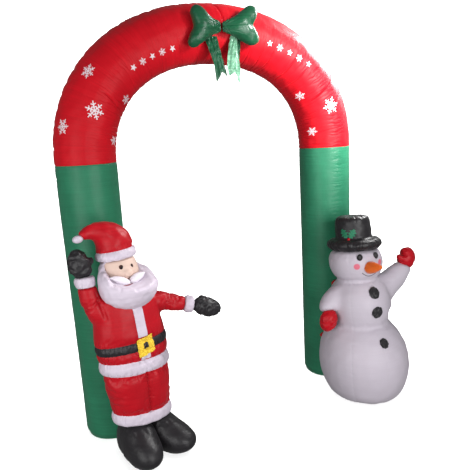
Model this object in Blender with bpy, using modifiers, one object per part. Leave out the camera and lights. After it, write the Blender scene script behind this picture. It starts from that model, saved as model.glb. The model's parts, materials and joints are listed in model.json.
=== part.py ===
"""Inflatable arch of air-filled cloth, with a bow at its crown and two standing figures.

The arch stands across X, its front faces -Y and its legs stand on Z = 0. Sizes are in metres.
"""

import math
from collections import namedtuple

import bmesh
import bpy
from mathutils import Matrix, Vector

COLLECTION = "inflatable_arch"

# Middle of the whole outline, measured from the middle of the arch, brought to X = Y = 0.
OUTLINE_MIDDLE = Vector((0.1056, -0.2511, 0.0))

GAP = 0.0004                # parting between touching pieces
TUBE_STEPS = 24             # sides of the wide round pieces
LIMB_STEPS = 14             # sides of arms and other narrow pieces

# ---- arch ----
HEIGHT = 2.4                # floor to the outside of the crown
TUBE_RADIUS = 0.162
HALF_SPAN = 0.758           # middle of the arch to the middle of a leg
SEAM_HEIGHT = 1.56          # where the green leg is sewn to the red curve
CROWN_RISE = HEIGHT - TUBE_RADIUS - SEAM_HEIGHT
CURVE_POWER = 2.16          # 2 is an ellipse, more is squarer
CURVE_RINGS = 56
GATHER_DEPTH = 0.0035       # in and out of the gathered outer seam, on its left half
FOOT_ROUNDING = 0.012       # how far the leg draws in at its foot

# ---- bow ----
BOW_PINCH = Vector((-0.010, -0.209, 2.238))
LOOP_THICKNESS = 0.085
TAIL_THICKNESS = 0.003

# ---- bearded figure ----
BEARDED_PLACE = Vector((-0.635, -0.327, 0.0))
BEARDED_TURN = math.radians(19.0)
BEARDED_LEAN = 0.052        # sideways for each metre of height
BODY_DEPTH = 0.63           # depth of the body over its width
STRIP_HALF = 0.026          # half width of the white strip down the jacket
STRIP_OVERLAP = 0.014       # how far the strip stays above the white hem
BUCKLE_CLEARANCE = 0.042    # from the belt's upper seam up to the end of the upper strip
BEARD_DROP = 0.060          # how much lower the beard starts beside the left cheek

# ---- snowman ----
SNOWMAN_PLACE = Vector((0.7837, -0.395, 0.0))
SNOWMAN_TURN = math.radians(-6.0)
SNOWMAN_LEAN = 0.058
HAT_RADIUS = 0.107          # of the hat's crown, where the holly is wound on
HOLLY_ANGLE = math.radians(-44.0)
HOLLY_HEIGHT = 1.036
HOLLY_LIFT = 0.0025         # how far the leaves stand off the hat
LEAF_LENGTH, LEAF_HALF_WIDTH = 0.060, 0.024
LINK_DEPTHS = {"upper": (-0.125, -0.30), "lower": (-0.085, -0.24)}

Look = namedtuple("Look", "colour roughness metallic")
LOOKS = {
    "red_cloth": Look((0.55, 0.012, 0.02), 0.42, 0.0),
    "green_cloth": Look((0.03, 0.17, 0.085), 0.42, 0.0),
    "white_cloth": Look((0.72, 0.68, 0.76), 0.45, 0.0),
    "black_cloth": Look((0.02, 0.019, 0.02), 0.4, 0.0),
    "skin_cloth": Look((0.86, 0.55, 0.4), 0.45, 0.0),
    "yellow_foil": Look((0.85, 0.6, 0.05), 0.3, 0.35),
    "orange_cloth": Look((0.9, 0.2, 0.02), 0.42, 0.0),
}

# Rows of a turned piece, from its top down: height above the figure's floor and radius there.
Row = namedtuple("Row", "height radius")
# Points along a bent tube: place in the figure's frame and the tube's radius there.
Bend = namedtuple("Bend", "x y z radius")


# Outlines of the two puffed loops, from the pinch: two full corners and a hollow end between.
Outline = namedtuple("Outline", "x z")
LOOPS = {
    "right": [
        Outline(GAP, 0.024), Outline(0.040, 0.038), Outline(0.095, 0.068), Outline(0.140, 0.102),
        Outline(0.180, 0.112), Outline(0.209, 0.088), Outline(0.196, 0.006),
        Outline(0.218, -0.060), Outline(0.200, -0.090), Outline(0.160, -0.094),
        Outline(0.095, -0.064), Outline(0.035, -0.040), Outline(GAP, -0.026),
    ],
    "left": [
        Outline(-GAP, -0.026), Outline(-0.040, -0.046), Outline(-0.095, -0.074),
        Outline(-0.142, -0.104), Outline(-0.178, -0.106), Outline(-0.192, -0.080),
        Outline(-0.158, 0.002), Outline(-0.168, 0.076), Outline(-0.138, 0.102),
        Outline(-0.102, 0.088), Outline(-0.060, 0.052), Outline(-0.024, 0.034),
        Outline(-GAP, 0.024),
    ],
}

# Ribbon tails and a folded end, from behind the loops down: middle, depth behind the pinch and
# half width.
Strip = namedtuple("Strip", "x z depth half_width")
Tail = namedtuple("Tail", "name rows left_tip notch right_tip")
TAILS = [
    Tail("left", [
        Strip(-0.050, -0.045, 0.034, 0.035), Strip(-0.047, -0.068, 0.030, 0.035),
        Strip(-0.036, -0.123, 0.020, 0.032), Strip(-0.019, -0.176, 0.014, 0.030),
        Strip(-0.009, -0.228, 0.012, 0.035),
    ], left_tip=0.066, notch=0.004, right_tip=0.028),
    Tail("right", [
        Strip(0.084, -0.040, 0.030, 0.022), Strip(0.078, -0.065, 0.026, 0.023),
        Strip(0.064, -0.123, 0.012, 0.029), Strip(0.057, -0.186, -0.002, 0.038),
        Strip(0.057, -0.228, -0.006, 0.028),
    ], left_tip=0.028, notch=0.004, right_tip=0.066),
    Tail("folded", [
        Strip(0.106, -0.040, 0.044, 0.022), Strip(0.105, -0.065, 0.042, 0.020),
        Strip(0.103, -0.110, 0.034, 0.014), Strip(0.104, -0.160, 0.026, 0.003),
    ], left_tip=0.0, notch=0.003, right_tip=0.0),
]


# ---------------------------------------------------------------- scene, materials and objects

def clear_scene():
    for thing in list(bpy.data.objects):
        bpy.data.objects.remove(thing, do_unlink=True)


def make_collection(name):
    collection = bpy.data.collections.new(name)
    bpy.context.scene.collection.children.link(collection)
    return collection


def cloth(name):
    """A Principled material from the table of looks, made once."""
    found = bpy.data.materials.get(name)
    if found:
        return found
    look = LOOKS[name]
    material = bpy.data.materials.new(name)
    material.use_nodes = True
    shader = material.node_tree.nodes["Principled BSDF"]
    shader.inputs["Base Color"].default_value = (*look.colour, 1.0)
    shader.inputs["Roughness"].default_value = look.roughness
    shader.inputs["Metallic"].default_value = look.metallic
    return material


def place_empty(name, parent=None, location=(0, 0, 0), turn=0.0):
    empty = bpy.data.objects.new(name, None)
    parts.objects.link(empty)
    empty.parent = parent
    empty.location = location
    empty.rotation_euler.z = turn
    return empty


def add_piece(name, mesh, look, parent):
    piece = bpy.data.objects.new(name, mesh)
    parts.objects.link(piece)
    piece.parent = parent
    mesh.name = name
    mesh.materials.clear()
    mesh.materials.append(cloth(look))
    mesh.shade_smooth()
    mesh.set_sharp_from_angle(angle=math.radians(50))
    return piece


def finished_mesh(thing):
    """The mesh of an object with its modifiers, or of a curve, as one welded surface."""
    bpy.context.view_layer.update()
    graph = bpy.context.evaluated_depsgraph_get()
    mesh = bpy.data.meshes.new_from_object(thing.evaluated_get(graph))
    edit_mesh(mesh, lambda bm: bmesh.ops.remove_doubles(bm, verts=bm.verts, dist=0.00002))
    return mesh


def edit_mesh(mesh, change):
    bm = bmesh.new()
    bm.from_mesh(mesh)
    change(bm)
    bm.to_mesh(mesh)
    bm.free()


def reshape(mesh, rule):
    """Moves each point of a mesh to where the rule puts it."""
    for vert in mesh.vertices:
        vert.co = rule(vert.co.copy())
    mesh.update()


# ---------------------------------------------------------------- shapes

def turned(rows, steps=TUBE_STEPS, depth=1.0, centre=(0.0, 0.0)):
    """A solid turned about Z from its rows, flat at both ends, squashed along Y by depth."""
    points = [(0.0, rows[0].height)]
    points += [(row.radius, row.height) for row in rows]
    points += [(0.0, rows[-1].height)]
    profile = bpy.data.meshes.new("profile")
    profile.from_pydata(
        [(x, 0.0, z) for x, z in points], [(i, i + 1) for i in range(len(points) - 1)], []
    )
    lathe = bpy.data.objects.new("lathe", profile)
    parts.objects.link(lathe)
    screw = lathe.modifiers.new("turn", "SCREW")
    screw.steps = steps
    screw.render_steps = steps
    screw.use_merge_vertices = True
    screw.merge_threshold = 0.00001
    mesh = finished_mesh(lathe)
    bpy.data.objects.remove(lathe)
    bpy.data.meshes.remove(profile)
    reshape(mesh, lambda co: Vector((co.x + centre[0], co.y * depth + centre[1], co.z)))
    return mesh


def ball(centre, radii, steps=TUBE_STEPS, rings=14, turn=Matrix.Identity(3)):
    """An ellipsoid: a UV sphere with its poles on Z, scaled, turned and moved."""
    mesh = bpy.data.meshes.new("ball")
    edit_mesh(
        mesh,
        lambda bm: bmesh.ops.create_uvsphere(bm, u_segments=steps, v_segments=rings, radius=1.0),
    )
    size = Matrix.Diagonal(radii)
    middle = Vector(centre)
    reshape(mesh, lambda co: turn @ (size @ co) + middle)
    return mesh


def tube(bends, sides=LIMB_STEPS, points_each=3):
    """A round tube through its bends, with flat ends: a smooth curve with a round bevel."""
    curve = bpy.data.curves.new("tube", "CURVE")
    curve.dimensions = "3D"
    curve.bevel_depth = 1.0
    curve.bevel_resolution = (sides - 4) // 2
    curve.use_fill_caps = True
    path = smooth_path(bends, points_each)
    spline = curve.splines.new("POLY")
    spline.points.add(len(path) - 1)
    for point, bend in zip(spline.points, path):
        point.co = (bend.x, bend.y, bend.z, 1.0)
        point.radius = bend.radius
    guide = bpy.data.objects.new("tube", curve)
    parts.objects.link(guide)
    mesh = finished_mesh(guide)
    bpy.data.objects.remove(guide)
    bpy.data.curves.remove(curve)
    return mesh


def smooth_path(rows, points_each):
    """Rows read from a smooth curve through the given rows (Catmull-Rom)."""
    kind = type(rows[0])
    ends = [rows[0], *rows, rows[-1]]
    path = []
    for a, b, c, d in zip(ends, ends[1:], ends[2:], ends[3:]):
        for step in range(points_each):
            t = step / points_each
            path.append(kind(*(
                0.5 * (2 * q + (r - p) * t + (2 * p - 5 * q + 4 * r - s) * t ** 2
                       + (3 * q - p - 3 * r + s) * t ** 3)
                for p, q, r, s in zip(a, b, c, d)
            )))
    path.append(rows[-1])
    return path


def puffed(low, high, radius, bulge, rounds=4, taper=1.0):
    """Rows of a band that swells out between two seams; taper is its top radius over its bottom."""
    rows = []
    for step in range(rounds + 1):
        t = step / rounds
        swell = bulge * math.sin(math.pi * (0.06 + 0.88 * t))
        height = high + (low - high) * t
        rows.append(Row(height, radius * (taper + (1.0 - taper) * t) + swell))
    return rows


def level_end(mesh, height):
    """Sets the tilted last ring of a rising tube level at a height, just under its seam."""
    reach = 0.016
    reshape(mesh, lambda co: Vector((
        co.x, co.y, height - GAP if co.z > height - reach else co.z)))


def smoothstep(low, high, value):
    t = min(max((value - low) / (high - low), 0.0), 1.0)
    return t * t * (3.0 - 2.0 * t)


def grown_copy(piece):
    """A cutter: the finished shape of a piece, moved out along its normals by the gap."""
    mesh = finished_mesh(piece)
    mesh.materials.clear()

    def grow(bm):
        bm.normal_update()
        moves = [v.normal * GAP * min(v.calc_shell_factor(), 2.0) for v in bm.verts]
        for vert, move in zip(bm.verts, moves):
            vert.co += move

    edit_mesh(mesh, grow)
    cutter = bpy.data.objects.new(piece.name + "_clearance", mesh)
    cutters.objects.link(cutter)
    cutter.matrix_world = piece.matrix_world
    cutter.hide_render = True
    cutter.display_type = "WIRE"
    return cutter


def cut_clear(piece, *neighbours):
    """Cuts a piece back from its neighbours, which keep their shapes."""
    for neighbour in neighbours:
        boolean = piece.modifiers.new("clear_" + neighbour.name, "BOOLEAN")
        boolean.operation = "DIFFERENCE"
        boolean.object = grown_copy(neighbour)


def joined(first, second):
    """One mesh from two that run into each other."""
    pieces = []
    for mesh in (first, second):
        piece = bpy.data.objects.new("half", mesh)
        cutters.objects.link(piece)
        pieces.append(piece)
    union = pieces[0].modifiers.new("join", "BOOLEAN")
    union.operation = "UNION"
    union.object = pieces[1]
    mesh = finished_mesh(pieces[0])
    for piece in pieces:
        bpy.data.objects.remove(piece)
    return mesh


def patch(name, corners, rows, columns, grounds, look, parent, thickness=0.003, lift=0.0012):
    """A flat cloth patch laid on the front of other pieces.

    corners are its four corners as (x, z), clockwise from top left, seen from the front.
    """
    bpy.context.view_layer.update()
    graph = bpy.context.evaluated_depsgraph_get()
    faces_front = [ground.evaluated_get(graph) for ground in grounds]
    top_left, top_right, low_right, low_left = (Vector(corner) for corner in corners)
    mesh = bpy.data.meshes.new(name)
    edit_mesh(
        mesh,
        lambda bm: bmesh.ops.create_grid(bm, x_segments=columns, y_segments=rows, size=0.5),
    )

    def lay(co):
        across, up = co.x + 0.5, co.y + 0.5
        low = low_left.lerp(low_right, across)
        spot = low.lerp(top_left.lerp(top_right, across), up)
        start = Vector((spot.x, -1.0, spot.y))
        fronts = []
        for ground in faces_front:
            hit, point, _, _ = ground.ray_cast(start, Vector((0, 1, 0)))
            if hit:
                fronts.append(point.y)
        return Vector((spot.x, min(fronts) - lift, spot.y))

    reshape(mesh, lay)
    piece = add_piece(name, mesh, look, parent)
    shell = piece.modifiers.new("thickness", "SOLIDIFY")
    shell.thickness = thickness
    shell.offset = 1.0
    return piece


# ---------------------------------------------------------------- arch

def curve_middle(angle):
    """A point of the curve's middle line, from 0 at the right leg to pi at the left leg."""
    across, up = math.cos(angle), math.sin(angle)
    x = math.copysign(HALF_SPAN * abs(across) ** (2 / CURVE_POWER), across)
    return Vector((x, 0.0, SEAM_HEIGHT + CROWN_RISE * up ** (2 / CURVE_POWER)))


def build_arch(root):
    for side, sign in (("right", 1), ("left", -1)):
        bottom = TUBE_RADIUS - FOOT_ROUNDING
        rows = [
            Row(SEAM_HEIGHT - GAP, TUBE_RADIUS),
            Row(1.0, TUBE_RADIUS),
            Row(0.5, TUBE_RADIUS),
            Row(0.05, TUBE_RADIUS),
            Row(0.02, TUBE_RADIUS - 0.3 * FOOT_ROUNDING),
            Row(0.0, bottom),
        ]
        mesh = turned(rows, centre=(sign * HALF_SPAN, 0.0))
        legs[side] = add_piece(f"green_leg_{side}", mesh, "green_cloth", root)

    bends = []
    for step in range(CURVE_RINGS + 1):
        middle = curve_middle(math.pi * step / CURVE_RINGS)
        bends.append(Bend(*middle, TUBE_RADIUS))
    mesh = tube(bends, sides=22, points_each=1)

    end_reach = 0.006       # the end rings lie a little off level and are set level with the seams

    def gather(co):
        """Draws every second ring in along the outer seam, in the plane of the arch."""
        out = Vector((co.x, 0.0, co.z - SEAM_HEIGHT))
        if out.z < end_reach:
            return Vector((co.x, co.y, SEAM_HEIGHT))
        angle = math.atan2(
            (out.z / CROWN_RISE) ** (CURVE_POWER / 2),
            abs(out.x / HALF_SPAN) ** (CURVE_POWER / 2),
        )
        ring = round(angle / math.pi * CURVE_RINGS)
        middle = curve_middle(angle) - Vector((0, 0, SEAM_HEIGHT))
        outward = (out.length - middle.length) / TUBE_RADIUS
        strength = 0.4 + 0.6 * smoothstep(-0.4, 0.4, -co.x / HALF_SPAN)
        depth = GATHER_DEPTH * strength * smoothstep(0.55, 1.0, outward) * (-1) ** ring
        return co + out.normalized() * depth

    reshape(mesh, gather)
    legs["curve"] = add_piece("red_curve", mesh, "red_cloth", root)


# ---------------------------------------------------------------- bow

def build_bow(root):
    bow = place_empty("bow_place", root, BOW_PINCH)
    for side, outline in LOOPS.items():
        mesh = puffed_outline(smooth_path(outline, 2), LOOP_THICKNESS)
        pieces[f"bow_{side}"] = add_piece(f"bow_loop_{side}", mesh, "green_cloth", bow)
    for tail in TAILS:
        piece = build_tail(tail, bow)
        cut_clear(piece, pieces["bow_left"], pieces["bow_right"])


def puffed_outline(outline, thickness):
    """A pillow with an outline in the XZ plane, thickest along its middle."""
    middle = Vector((
        sum(point.x for point in outline) / len(outline),
        sum(point.z for point in outline) / len(outline),
    ))
    levels = [0.0, 0.35, 0.65, 0.88, 1.0]
    bm = bmesh.new()
    rims = []
    for side in (-1, 1):
        rings = []
        for level in levels:
            if level == 1.0 and side == 1:
                rings.append(rims[0][-1])
                continue
            if level == 0.0:
                rings.append([bm.verts.new((middle.x, side * thickness / 2, middle.y))])
                continue
            ring = []
            for point in outline:
                edge = Vector((point.x, point.z)) - middle
                spot = middle + edge * level
                near_pinch = 0.35 + 0.65 * smoothstep(0.0, 0.11, abs(spot.x))
                hollow = smoothstep(0.10, 0.17, abs(spot.x)) * math.exp(-(spot.y / 0.035) ** 2)
                full = near_pinch * (1.0 - 0.4 * hollow)
                y = side * thickness / 2 * full * math.sqrt(1 - level ** 2.4)
                ring.append(bm.verts.new((spot.x, y, spot.y)))
            rings.append(ring)
        rims.append(rings)
    count = len(outline)
    for side, rings in enumerate(rims):
        for inner, outer in zip(rings, rings[1:]):
            for i in range(count):
                j = (i + 1) % count
                corners = [inner[0], outer[i], outer[j]] if len(inner) == 1 else [
                    inner[i], outer[i], outer[j], inner[j]]
                if side == 0:
                    corners.reverse()
                bm.faces.new(corners)
    bmesh.ops.recalc_face_normals(bm, faces=bm.faces)
    mesh = bpy.data.meshes.new("pillow")
    bm.to_mesh(mesh)
    bm.free()
    return mesh


def build_tail(tail, bow):
    """A hanging ribbon, creased forward along its middle, with a swallow-tail end."""
    rows = smooth_path(tail.rows, 2)
    last = len(rows) - 1
    mesh = bpy.data.meshes.new("tail")
    edit_mesh(
        mesh,
        lambda bm: bmesh.ops.create_grid(bm, x_segments=4, y_segments=last, size=0.5),
    )

    def hang(co):
        across, row = co.x * 2.0, rows[round((0.5 - co.y) * last)]
        tip = tail.left_tip if across < 0 else tail.right_tip
        end = tail.notch + (tip - tail.notch) * abs(across)
        drop = end * smoothstep(0.5, 1.0, 0.5 - co.y)
        crease = 0.010 * (1.0 - abs(across))
        return Vector((row.x + across * row.half_width, row.depth - crease, row.z - drop))

    reshape(mesh, hang)
    piece = add_piece(f"bow_tail_{tail.name}", mesh, "green_cloth", bow)
    shell = piece.modifiers.new("thickness", "SOLIDIFY")
    shell.thickness = TAIL_THICKNESS
    shell.offset = 0.0
    return piece


# ---------------------------------------------------------------- bearded figure

def bearded_stance(co):
    """Takes a point of the straight figure to where it stands, leaning a little back and aside."""
    tilt = sum(
        change * smoothstep(low, high, co.z)
        for low, high, change in (
            (0.05, 0.20, -0.12), (0.30, 0.50, 0.03), (0.55, 0.65, 0.07), (1.04, 1.12, 0.08))
    )
    rise = 0.10 * smoothstep(0.42, 0.62, co.z)
    back = 0.05 * max(co.z - 0.5, 0.0)
    return Vector((
        co.x - BEARDED_LEAN * co.z,
        co.y + back,
        co.z + tilt * co.x - rise * co.y,
    ))


def build_bearded_figure(root):
    place = place_empty("bearded_figure_place", root, BEARDED_PLACE, BEARDED_TURN)

    def add(name, mesh, look):
        reshape(mesh, bearded_stance)
        piece = add_piece(name, mesh, look, place)
        pieces[name] = piece
        return piece

    # Seams of the body, from the floor up.
    ankle, cuff_top = 0.205, 0.272
    hem, hem_top = 0.500, 0.567
    belt, belt_top = 0.619, 0.667
    shoulder_top = 0.946

    def layer(name, rows, look, rule=None):
        rows[0] = Row(rows[0].height - GAP, rows[0].radius)
        mesh = turned(rows, depth=BODY_DEPTH)
        if rule:
            reshape(mesh, rule)
        return add(name, mesh, look)

    def groove(co):
        """Draws the trousers in along the centre line, front and back."""
        near = math.exp(-(co.x / 0.028) ** 2)
        return Vector((co.x, co.y * (1.0 - 0.16 * near), co.z))

    layer("ankle_band", puffed(ankle, cuff_top, 0.163, 0.012), "white_cloth")
    layer("trousers", [
        Row(hem, 0.180), Row(0.45, 0.183), Row(0.39, 0.180), Row(0.33, 0.173), Row(cuff_top, 0.164),
    ], "red_cloth", groove)
    layer("jacket_hem", puffed(hem, hem_top, 0.184, 0.014), "white_cloth")
    layer("jacket_skirt", [
        Row(belt, 0.195), Row(0.596, 0.196), Row(hem_top, 0.190),
    ], "red_cloth")
    layer("belt", [Row(belt_top, 0.1965), Row(belt, 0.1975)], "black_cloth")
    chest = layer("jacket_chest", [
        Row(shoulder_top, 0.075), Row(0.938, 0.105), Row(0.918, 0.137), Row(0.886, 0.162),
        Row(0.83, 0.178), Row(0.78, 0.184), Row(0.73, 0.190), Row(belt_top, 0.195),
    ], "red_cloth")

    build_boots(add, ankle)
    head = build_bearded_head(add, chest)
    build_front_strip(place, belt, belt_top, hem_top)
    build_bearded_arms(add, chest, head)


def build_boots(add, top):
    """Two bulbous boots, the right one turned out; each is full at the ankle and low at the toe."""
    meet = 0.012            # where the boots press against each other
    Boot = namedtuple("Boot", "name side x y turn length")
    for boot in (
        Boot("right", 1, 0.090, -0.056, 14.0, 0.190),
        Boot("left", -1, -0.068, -0.030, -10.0, 0.206),
    ):
        turn = Matrix.Rotation(math.radians(boot.turn), 3, "Z")
        middle = Vector((boot.x, boot.y, 0.0))

        def shape(co, boot=boot, turn=turn, middle=middle):
            toe = smoothstep(0.1, 1.0, -co.y)
            stout = 1.0 + 0.10 * (1.0 - abs(co.z)) * (1.0 - toe)
            blunt = math.hypot(co.x, co.y) / max((abs(co.x) ** 2.5 + abs(co.y) ** 2.5) ** 0.4, 1e-6)
            length = boot.length * (0.78 if co.y > 0 else 1.0)
            sole = Vector((co.x * 0.086, co.y * length, 0.0)) * blunt * stout
            foot = turn @ sole + middle
            ankle = 1.0 - smoothstep(0.75, 1.15, math.hypot(foot.x / 0.17, foot.y / 0.125))
            z = 0.080 + co.z * (0.100 - 0.020 * toe) + (0.010 + 0.06 * ankle) * max(co.z, 0.0)
            x = meet + boot.side * max(boot.side * (foot.x - meet), GAP)
            return Vector((x, foot.y, min(max(z, 0.0), top - GAP)))

        mesh = ball((0, 0, 0), (1, 1, 1), steps=18, rings=12)
        reshape(mesh, shape)
        add(f"boot_{boot.name}", mesh, "black_cloth")


def build_front_strip(place, belt, belt_top, hem_top):
    """White strip down the jacket, the buckle over the belt and the square at its middle."""
    jacket = [pieces[name] for name in ("jacket_chest", "jacket_skirt", "belt")]
    lean = BEARDED_LEAN

    def on_axis(height):
        return -lean * height

    half = STRIP_HALF
    low_end = belt_top + BUCKLE_CLEARANCE
    upper = [(on_axis(0.85) - half, 0.862), (on_axis(0.85) + half, 0.862),
             (on_axis(0.70) + half, low_end), (on_axis(0.70) - half, low_end)]
    pieces["strip_upper"] = patch(
        "front_strip_upper", upper, 10, 3, jacket[:1], "white_cloth", place)
    cut_clear(pieces["strip_upper"], pieces["beard"])
    top, bottom = belt + 0.004, hem_top + STRIP_OVERLAP
    lower = [(on_axis(0.6) - half, top), (on_axis(0.6) + half, top),
             (on_axis(0.56) + half, bottom), (on_axis(0.56) - half, bottom)]
    pieces["strip_lower"] = patch(
        "front_strip_lower", lower, 3, 3, jacket[1:2], "white_cloth", place)
    middle = on_axis(0.64)
    buckle = [(middle - 0.040, 0.694), (middle + 0.046, 0.708),
              (middle + 0.064, 0.616), (middle - 0.036, 0.601)]
    pieces["buckle"] = patch(
        "buckle", buckle, 6, 6, jacket, "yellow_foil", place, thickness=0.004, lift=0.006)
    square = [(middle - 0.008, 0.671), (middle + 0.019, 0.672),
              (middle + 0.019, 0.644), (middle - 0.008, 0.643)]
    pieces["buckle_centre"] = patch(
        "buckle_centre", square, 3, 3, [pieces["buckle"]], "black_cloth", place, lift=0.0008)


def build_bearded_head(add, chest):
    band, band_top = 1.094, 1.142
    head_mesh = ball((0, -0.005, 1.02), (0.098, 0.094, 0.135), rings=12)
    reshape(head_mesh, lambda co: Vector((co.x, co.y, min(co.z, band - GAP))))
    head = add("bearded_head", head_mesh, "skin_cloth")
    cut_clear(head, chest)
    band_mesh = turned(puffed(band, band_top - GAP, 0.092, 0.013), depth=0.92)
    add("hat_band", band_mesh, "white_cloth")

    hat = tube([
        Bend(0.000, 0.000, band_top, 0.096), Bend(-0.010, 0.0, 1.182, 0.093),
        Bend(-0.034, 0.0, 1.216, 0.075), Bend(-0.070, 0.0, 1.242, 0.053),
        Bend(-0.105, 0.0, 1.251, 0.038), Bend(-0.135, 0.0, 1.250, 0.030),
        Bend(-0.162, 0.0, 1.242, 0.022),
    ], sides=18, points_each=2)
    reshape(hat, lambda co: Vector((co.x, co.y * 0.9, max(co.z, band_top))))
    hat_piece = add("hat", hat, "red_cloth")
    pompom = add("pompom", ball((-0.181, 0.0, 1.236), (0.026, 0.024, 0.018), 12, 8), "white_cloth")
    cut_clear(pompom, hat_piece)

    beard_mesh = turned([
        Row(band - GAP, 0.086), Row(1.082, 0.094), Row(1.066, 0.106), Row(1.038, 0.135),
        Row(1.005, 0.151), Row(0.965, 0.153), Row(0.93, 0.148), Row(0.90, 0.135),
        Row(0.876, 0.113), Row(0.857, 0.085), Row(0.845, 0.055), Row(0.839, 0.020),
    ])

    def beard_shape(co):
        """Brings the upper beard back beside the face; its left side starts lower."""
        middle = -0.002 - 0.076 * (1.0 - smoothstep(1.02, 1.085, co.z))
        beside = smoothstep(0.02, 0.12, co.x) * (1.0 - smoothstep(-0.04, 0.04, co.y))
        drop = BEARD_DROP * beside * smoothstep(0.93, 1.05, co.z)
        return Vector((co.x, co.y * 0.737 + middle, co.z - drop))

    reshape(beard_mesh, beard_shape)
    beard = add("beard", beard_mesh, "white_cloth")
    opening = bpy.data.objects.new("face_opening", ball((0, -0.19, 1.062), (0.160, 0.19, 0.094)))
    reshape(opening.data, bearded_stance)
    cutters.objects.link(opening)
    opening.parent = head.parent
    opening.hide_render = True
    opening.display_type = "WIRE"
    boolean = beard.modifiers.new("face_opening", "BOOLEAN")
    boolean.operation = "DIFFERENCE"
    boolean.object = opening
    cut_clear(beard, head, chest)

    nose = add("nose", ball((-0.004, -0.098, 1.024), (0.024, 0.017, 0.019), 12, 8), "skin_cloth")
    cut_clear(nose, head)
    for side, sign, rise in (("right", 1, 14), ("left", -1, 27)):
        turn = Matrix.Rotation(-sign * math.radians(rise), 3, "Y")
        middle = -0.012
        mesh = ball((middle + sign * 0.045, -0.118, 0.997), (0.052, 0.022, 0.018), 14, 8, turn)
        reshape(mesh, lambda co, sign=sign, middle=middle: Vector((
            middle + sign * max(sign * (co.x - middle), GAP), co.y + 2.4 * co.x ** 2, co.z)))
        half = add(f"moustache_{side}", mesh, "white_cloth")
        cut_clear(half, head, beard, nose)
        spot = (sign * 0.027 - 0.003, -0.087, 1.056 - 0.002 * sign)
        eye = add(f"bearded_eye_{side}", ball(spot, (0.0105, 0.007, 0.0115), 10, 6), "black_cloth")
        cut_clear(eye, head)
    return head


def build_bearded_arms(add, chest, head):
    beard = pieces["beard"]
    wrist, cuff_end = 0.984, 1.036
    sleeve_mesh = tube([
        Bend(-0.080, 0.0, 0.775, 0.058), Bend(-0.124, 0.0, 0.795, 0.060),
        Bend(-0.152, 0.0, 0.840, 0.055), Bend(-0.174, 0.0, 0.905, 0.049),
        Bend(-0.184, 0.0, wrist, 0.047),
    ])
    level_end(sleeve_mesh, wrist)
    sleeve = add("sleeve_raised", sleeve_mesh, "red_cloth")
    cut_clear(sleeve, chest, beard)
    cuff_mesh = turned(puffed(wrist + GAP, cuff_end, 0.042, 0.006, taper=1.04),
                       steps=LIMB_STEPS, centre=(-0.188, 0.0))
    cuff = add("cuff_raised", cuff_mesh, "white_cloth")
    cut_clear(cuff, beard)
    lean_out = Matrix.Rotation(math.radians(-8), 3, "Y")
    palm = ball((-0.197, 0.0, 1.104), (0.056, 0.042, 0.084), 14, 9, lean_out)
    thumb = ball((-0.150, -0.008, 1.112), (0.017, 0.018, 0.030), 10, 6,
                 Matrix.Rotation(math.radians(25), 3, "Y"))
    mitten = joined(palm, thumb)
    reshape(mitten, lambda co: Vector((co.x, co.y, max(co.z, cuff_end + GAP))))
    add("mitten_raised", mitten, "black_cloth")

    # Outstretched arm, along its own axis: sideways, forward and a little down.
    start = Vector((0.10, -0.005, 0.850))
    heading = Vector((0.90, -0.42, -0.29)).normalized()

    def along(distance, radius):
        return Bend(*(start + heading * distance), radius)

    sleeve = add("sleeve_outstretched", tube([
        along(0.0, 0.060), along(0.08, 0.056), along(0.135, 0.047), along(0.155, 0.0465),
        along(0.226, 0.041)]), "red_cloth")
    cut_clear(sleeve, chest, beard)
    add("cuff_outstretched", tube([
        along(0.2264, 0.043), along(0.242, 0.047), along(0.258, 0.047), along(0.274, 0.043),
    ], points_each=2), "white_cloth")
    aim = Matrix.Rotation(math.radians(6), 3, "Y") @ heading.to_track_quat("X", "Z").to_matrix()
    palm = ball(start + heading * 0.349 - Vector((0, 0, 0.005)), (0.082, 0.046, 0.052), 14, 9, aim)
    thumb = ball(start + heading * 0.330 + Vector((0, -0.01, 0.040)), (0.034, 0.017, 0.017), 10, 6,
                 aim)
    mitten = joined(palm, thumb)
    wrist = start + heading * 0.2744

    def flatten_wrist(co):
        behind = (co - wrist).dot(heading)
        return co - heading * min(behind, 0.0)

    reshape(mitten, flatten_wrist)
    add("mitten_outstretched", mitten, "black_cloth")


# ---------------------------------------------------------------- snowman

def snowman_stance(co):
    back = 0.05 * max(co.z - 0.3, 0.0)
    rise = 0.10 * smoothstep(0.5, 0.9, co.z)
    return Vector((co.x - SNOWMAN_LEAN * co.z, co.y + back, co.z - rise * co.y))


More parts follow.
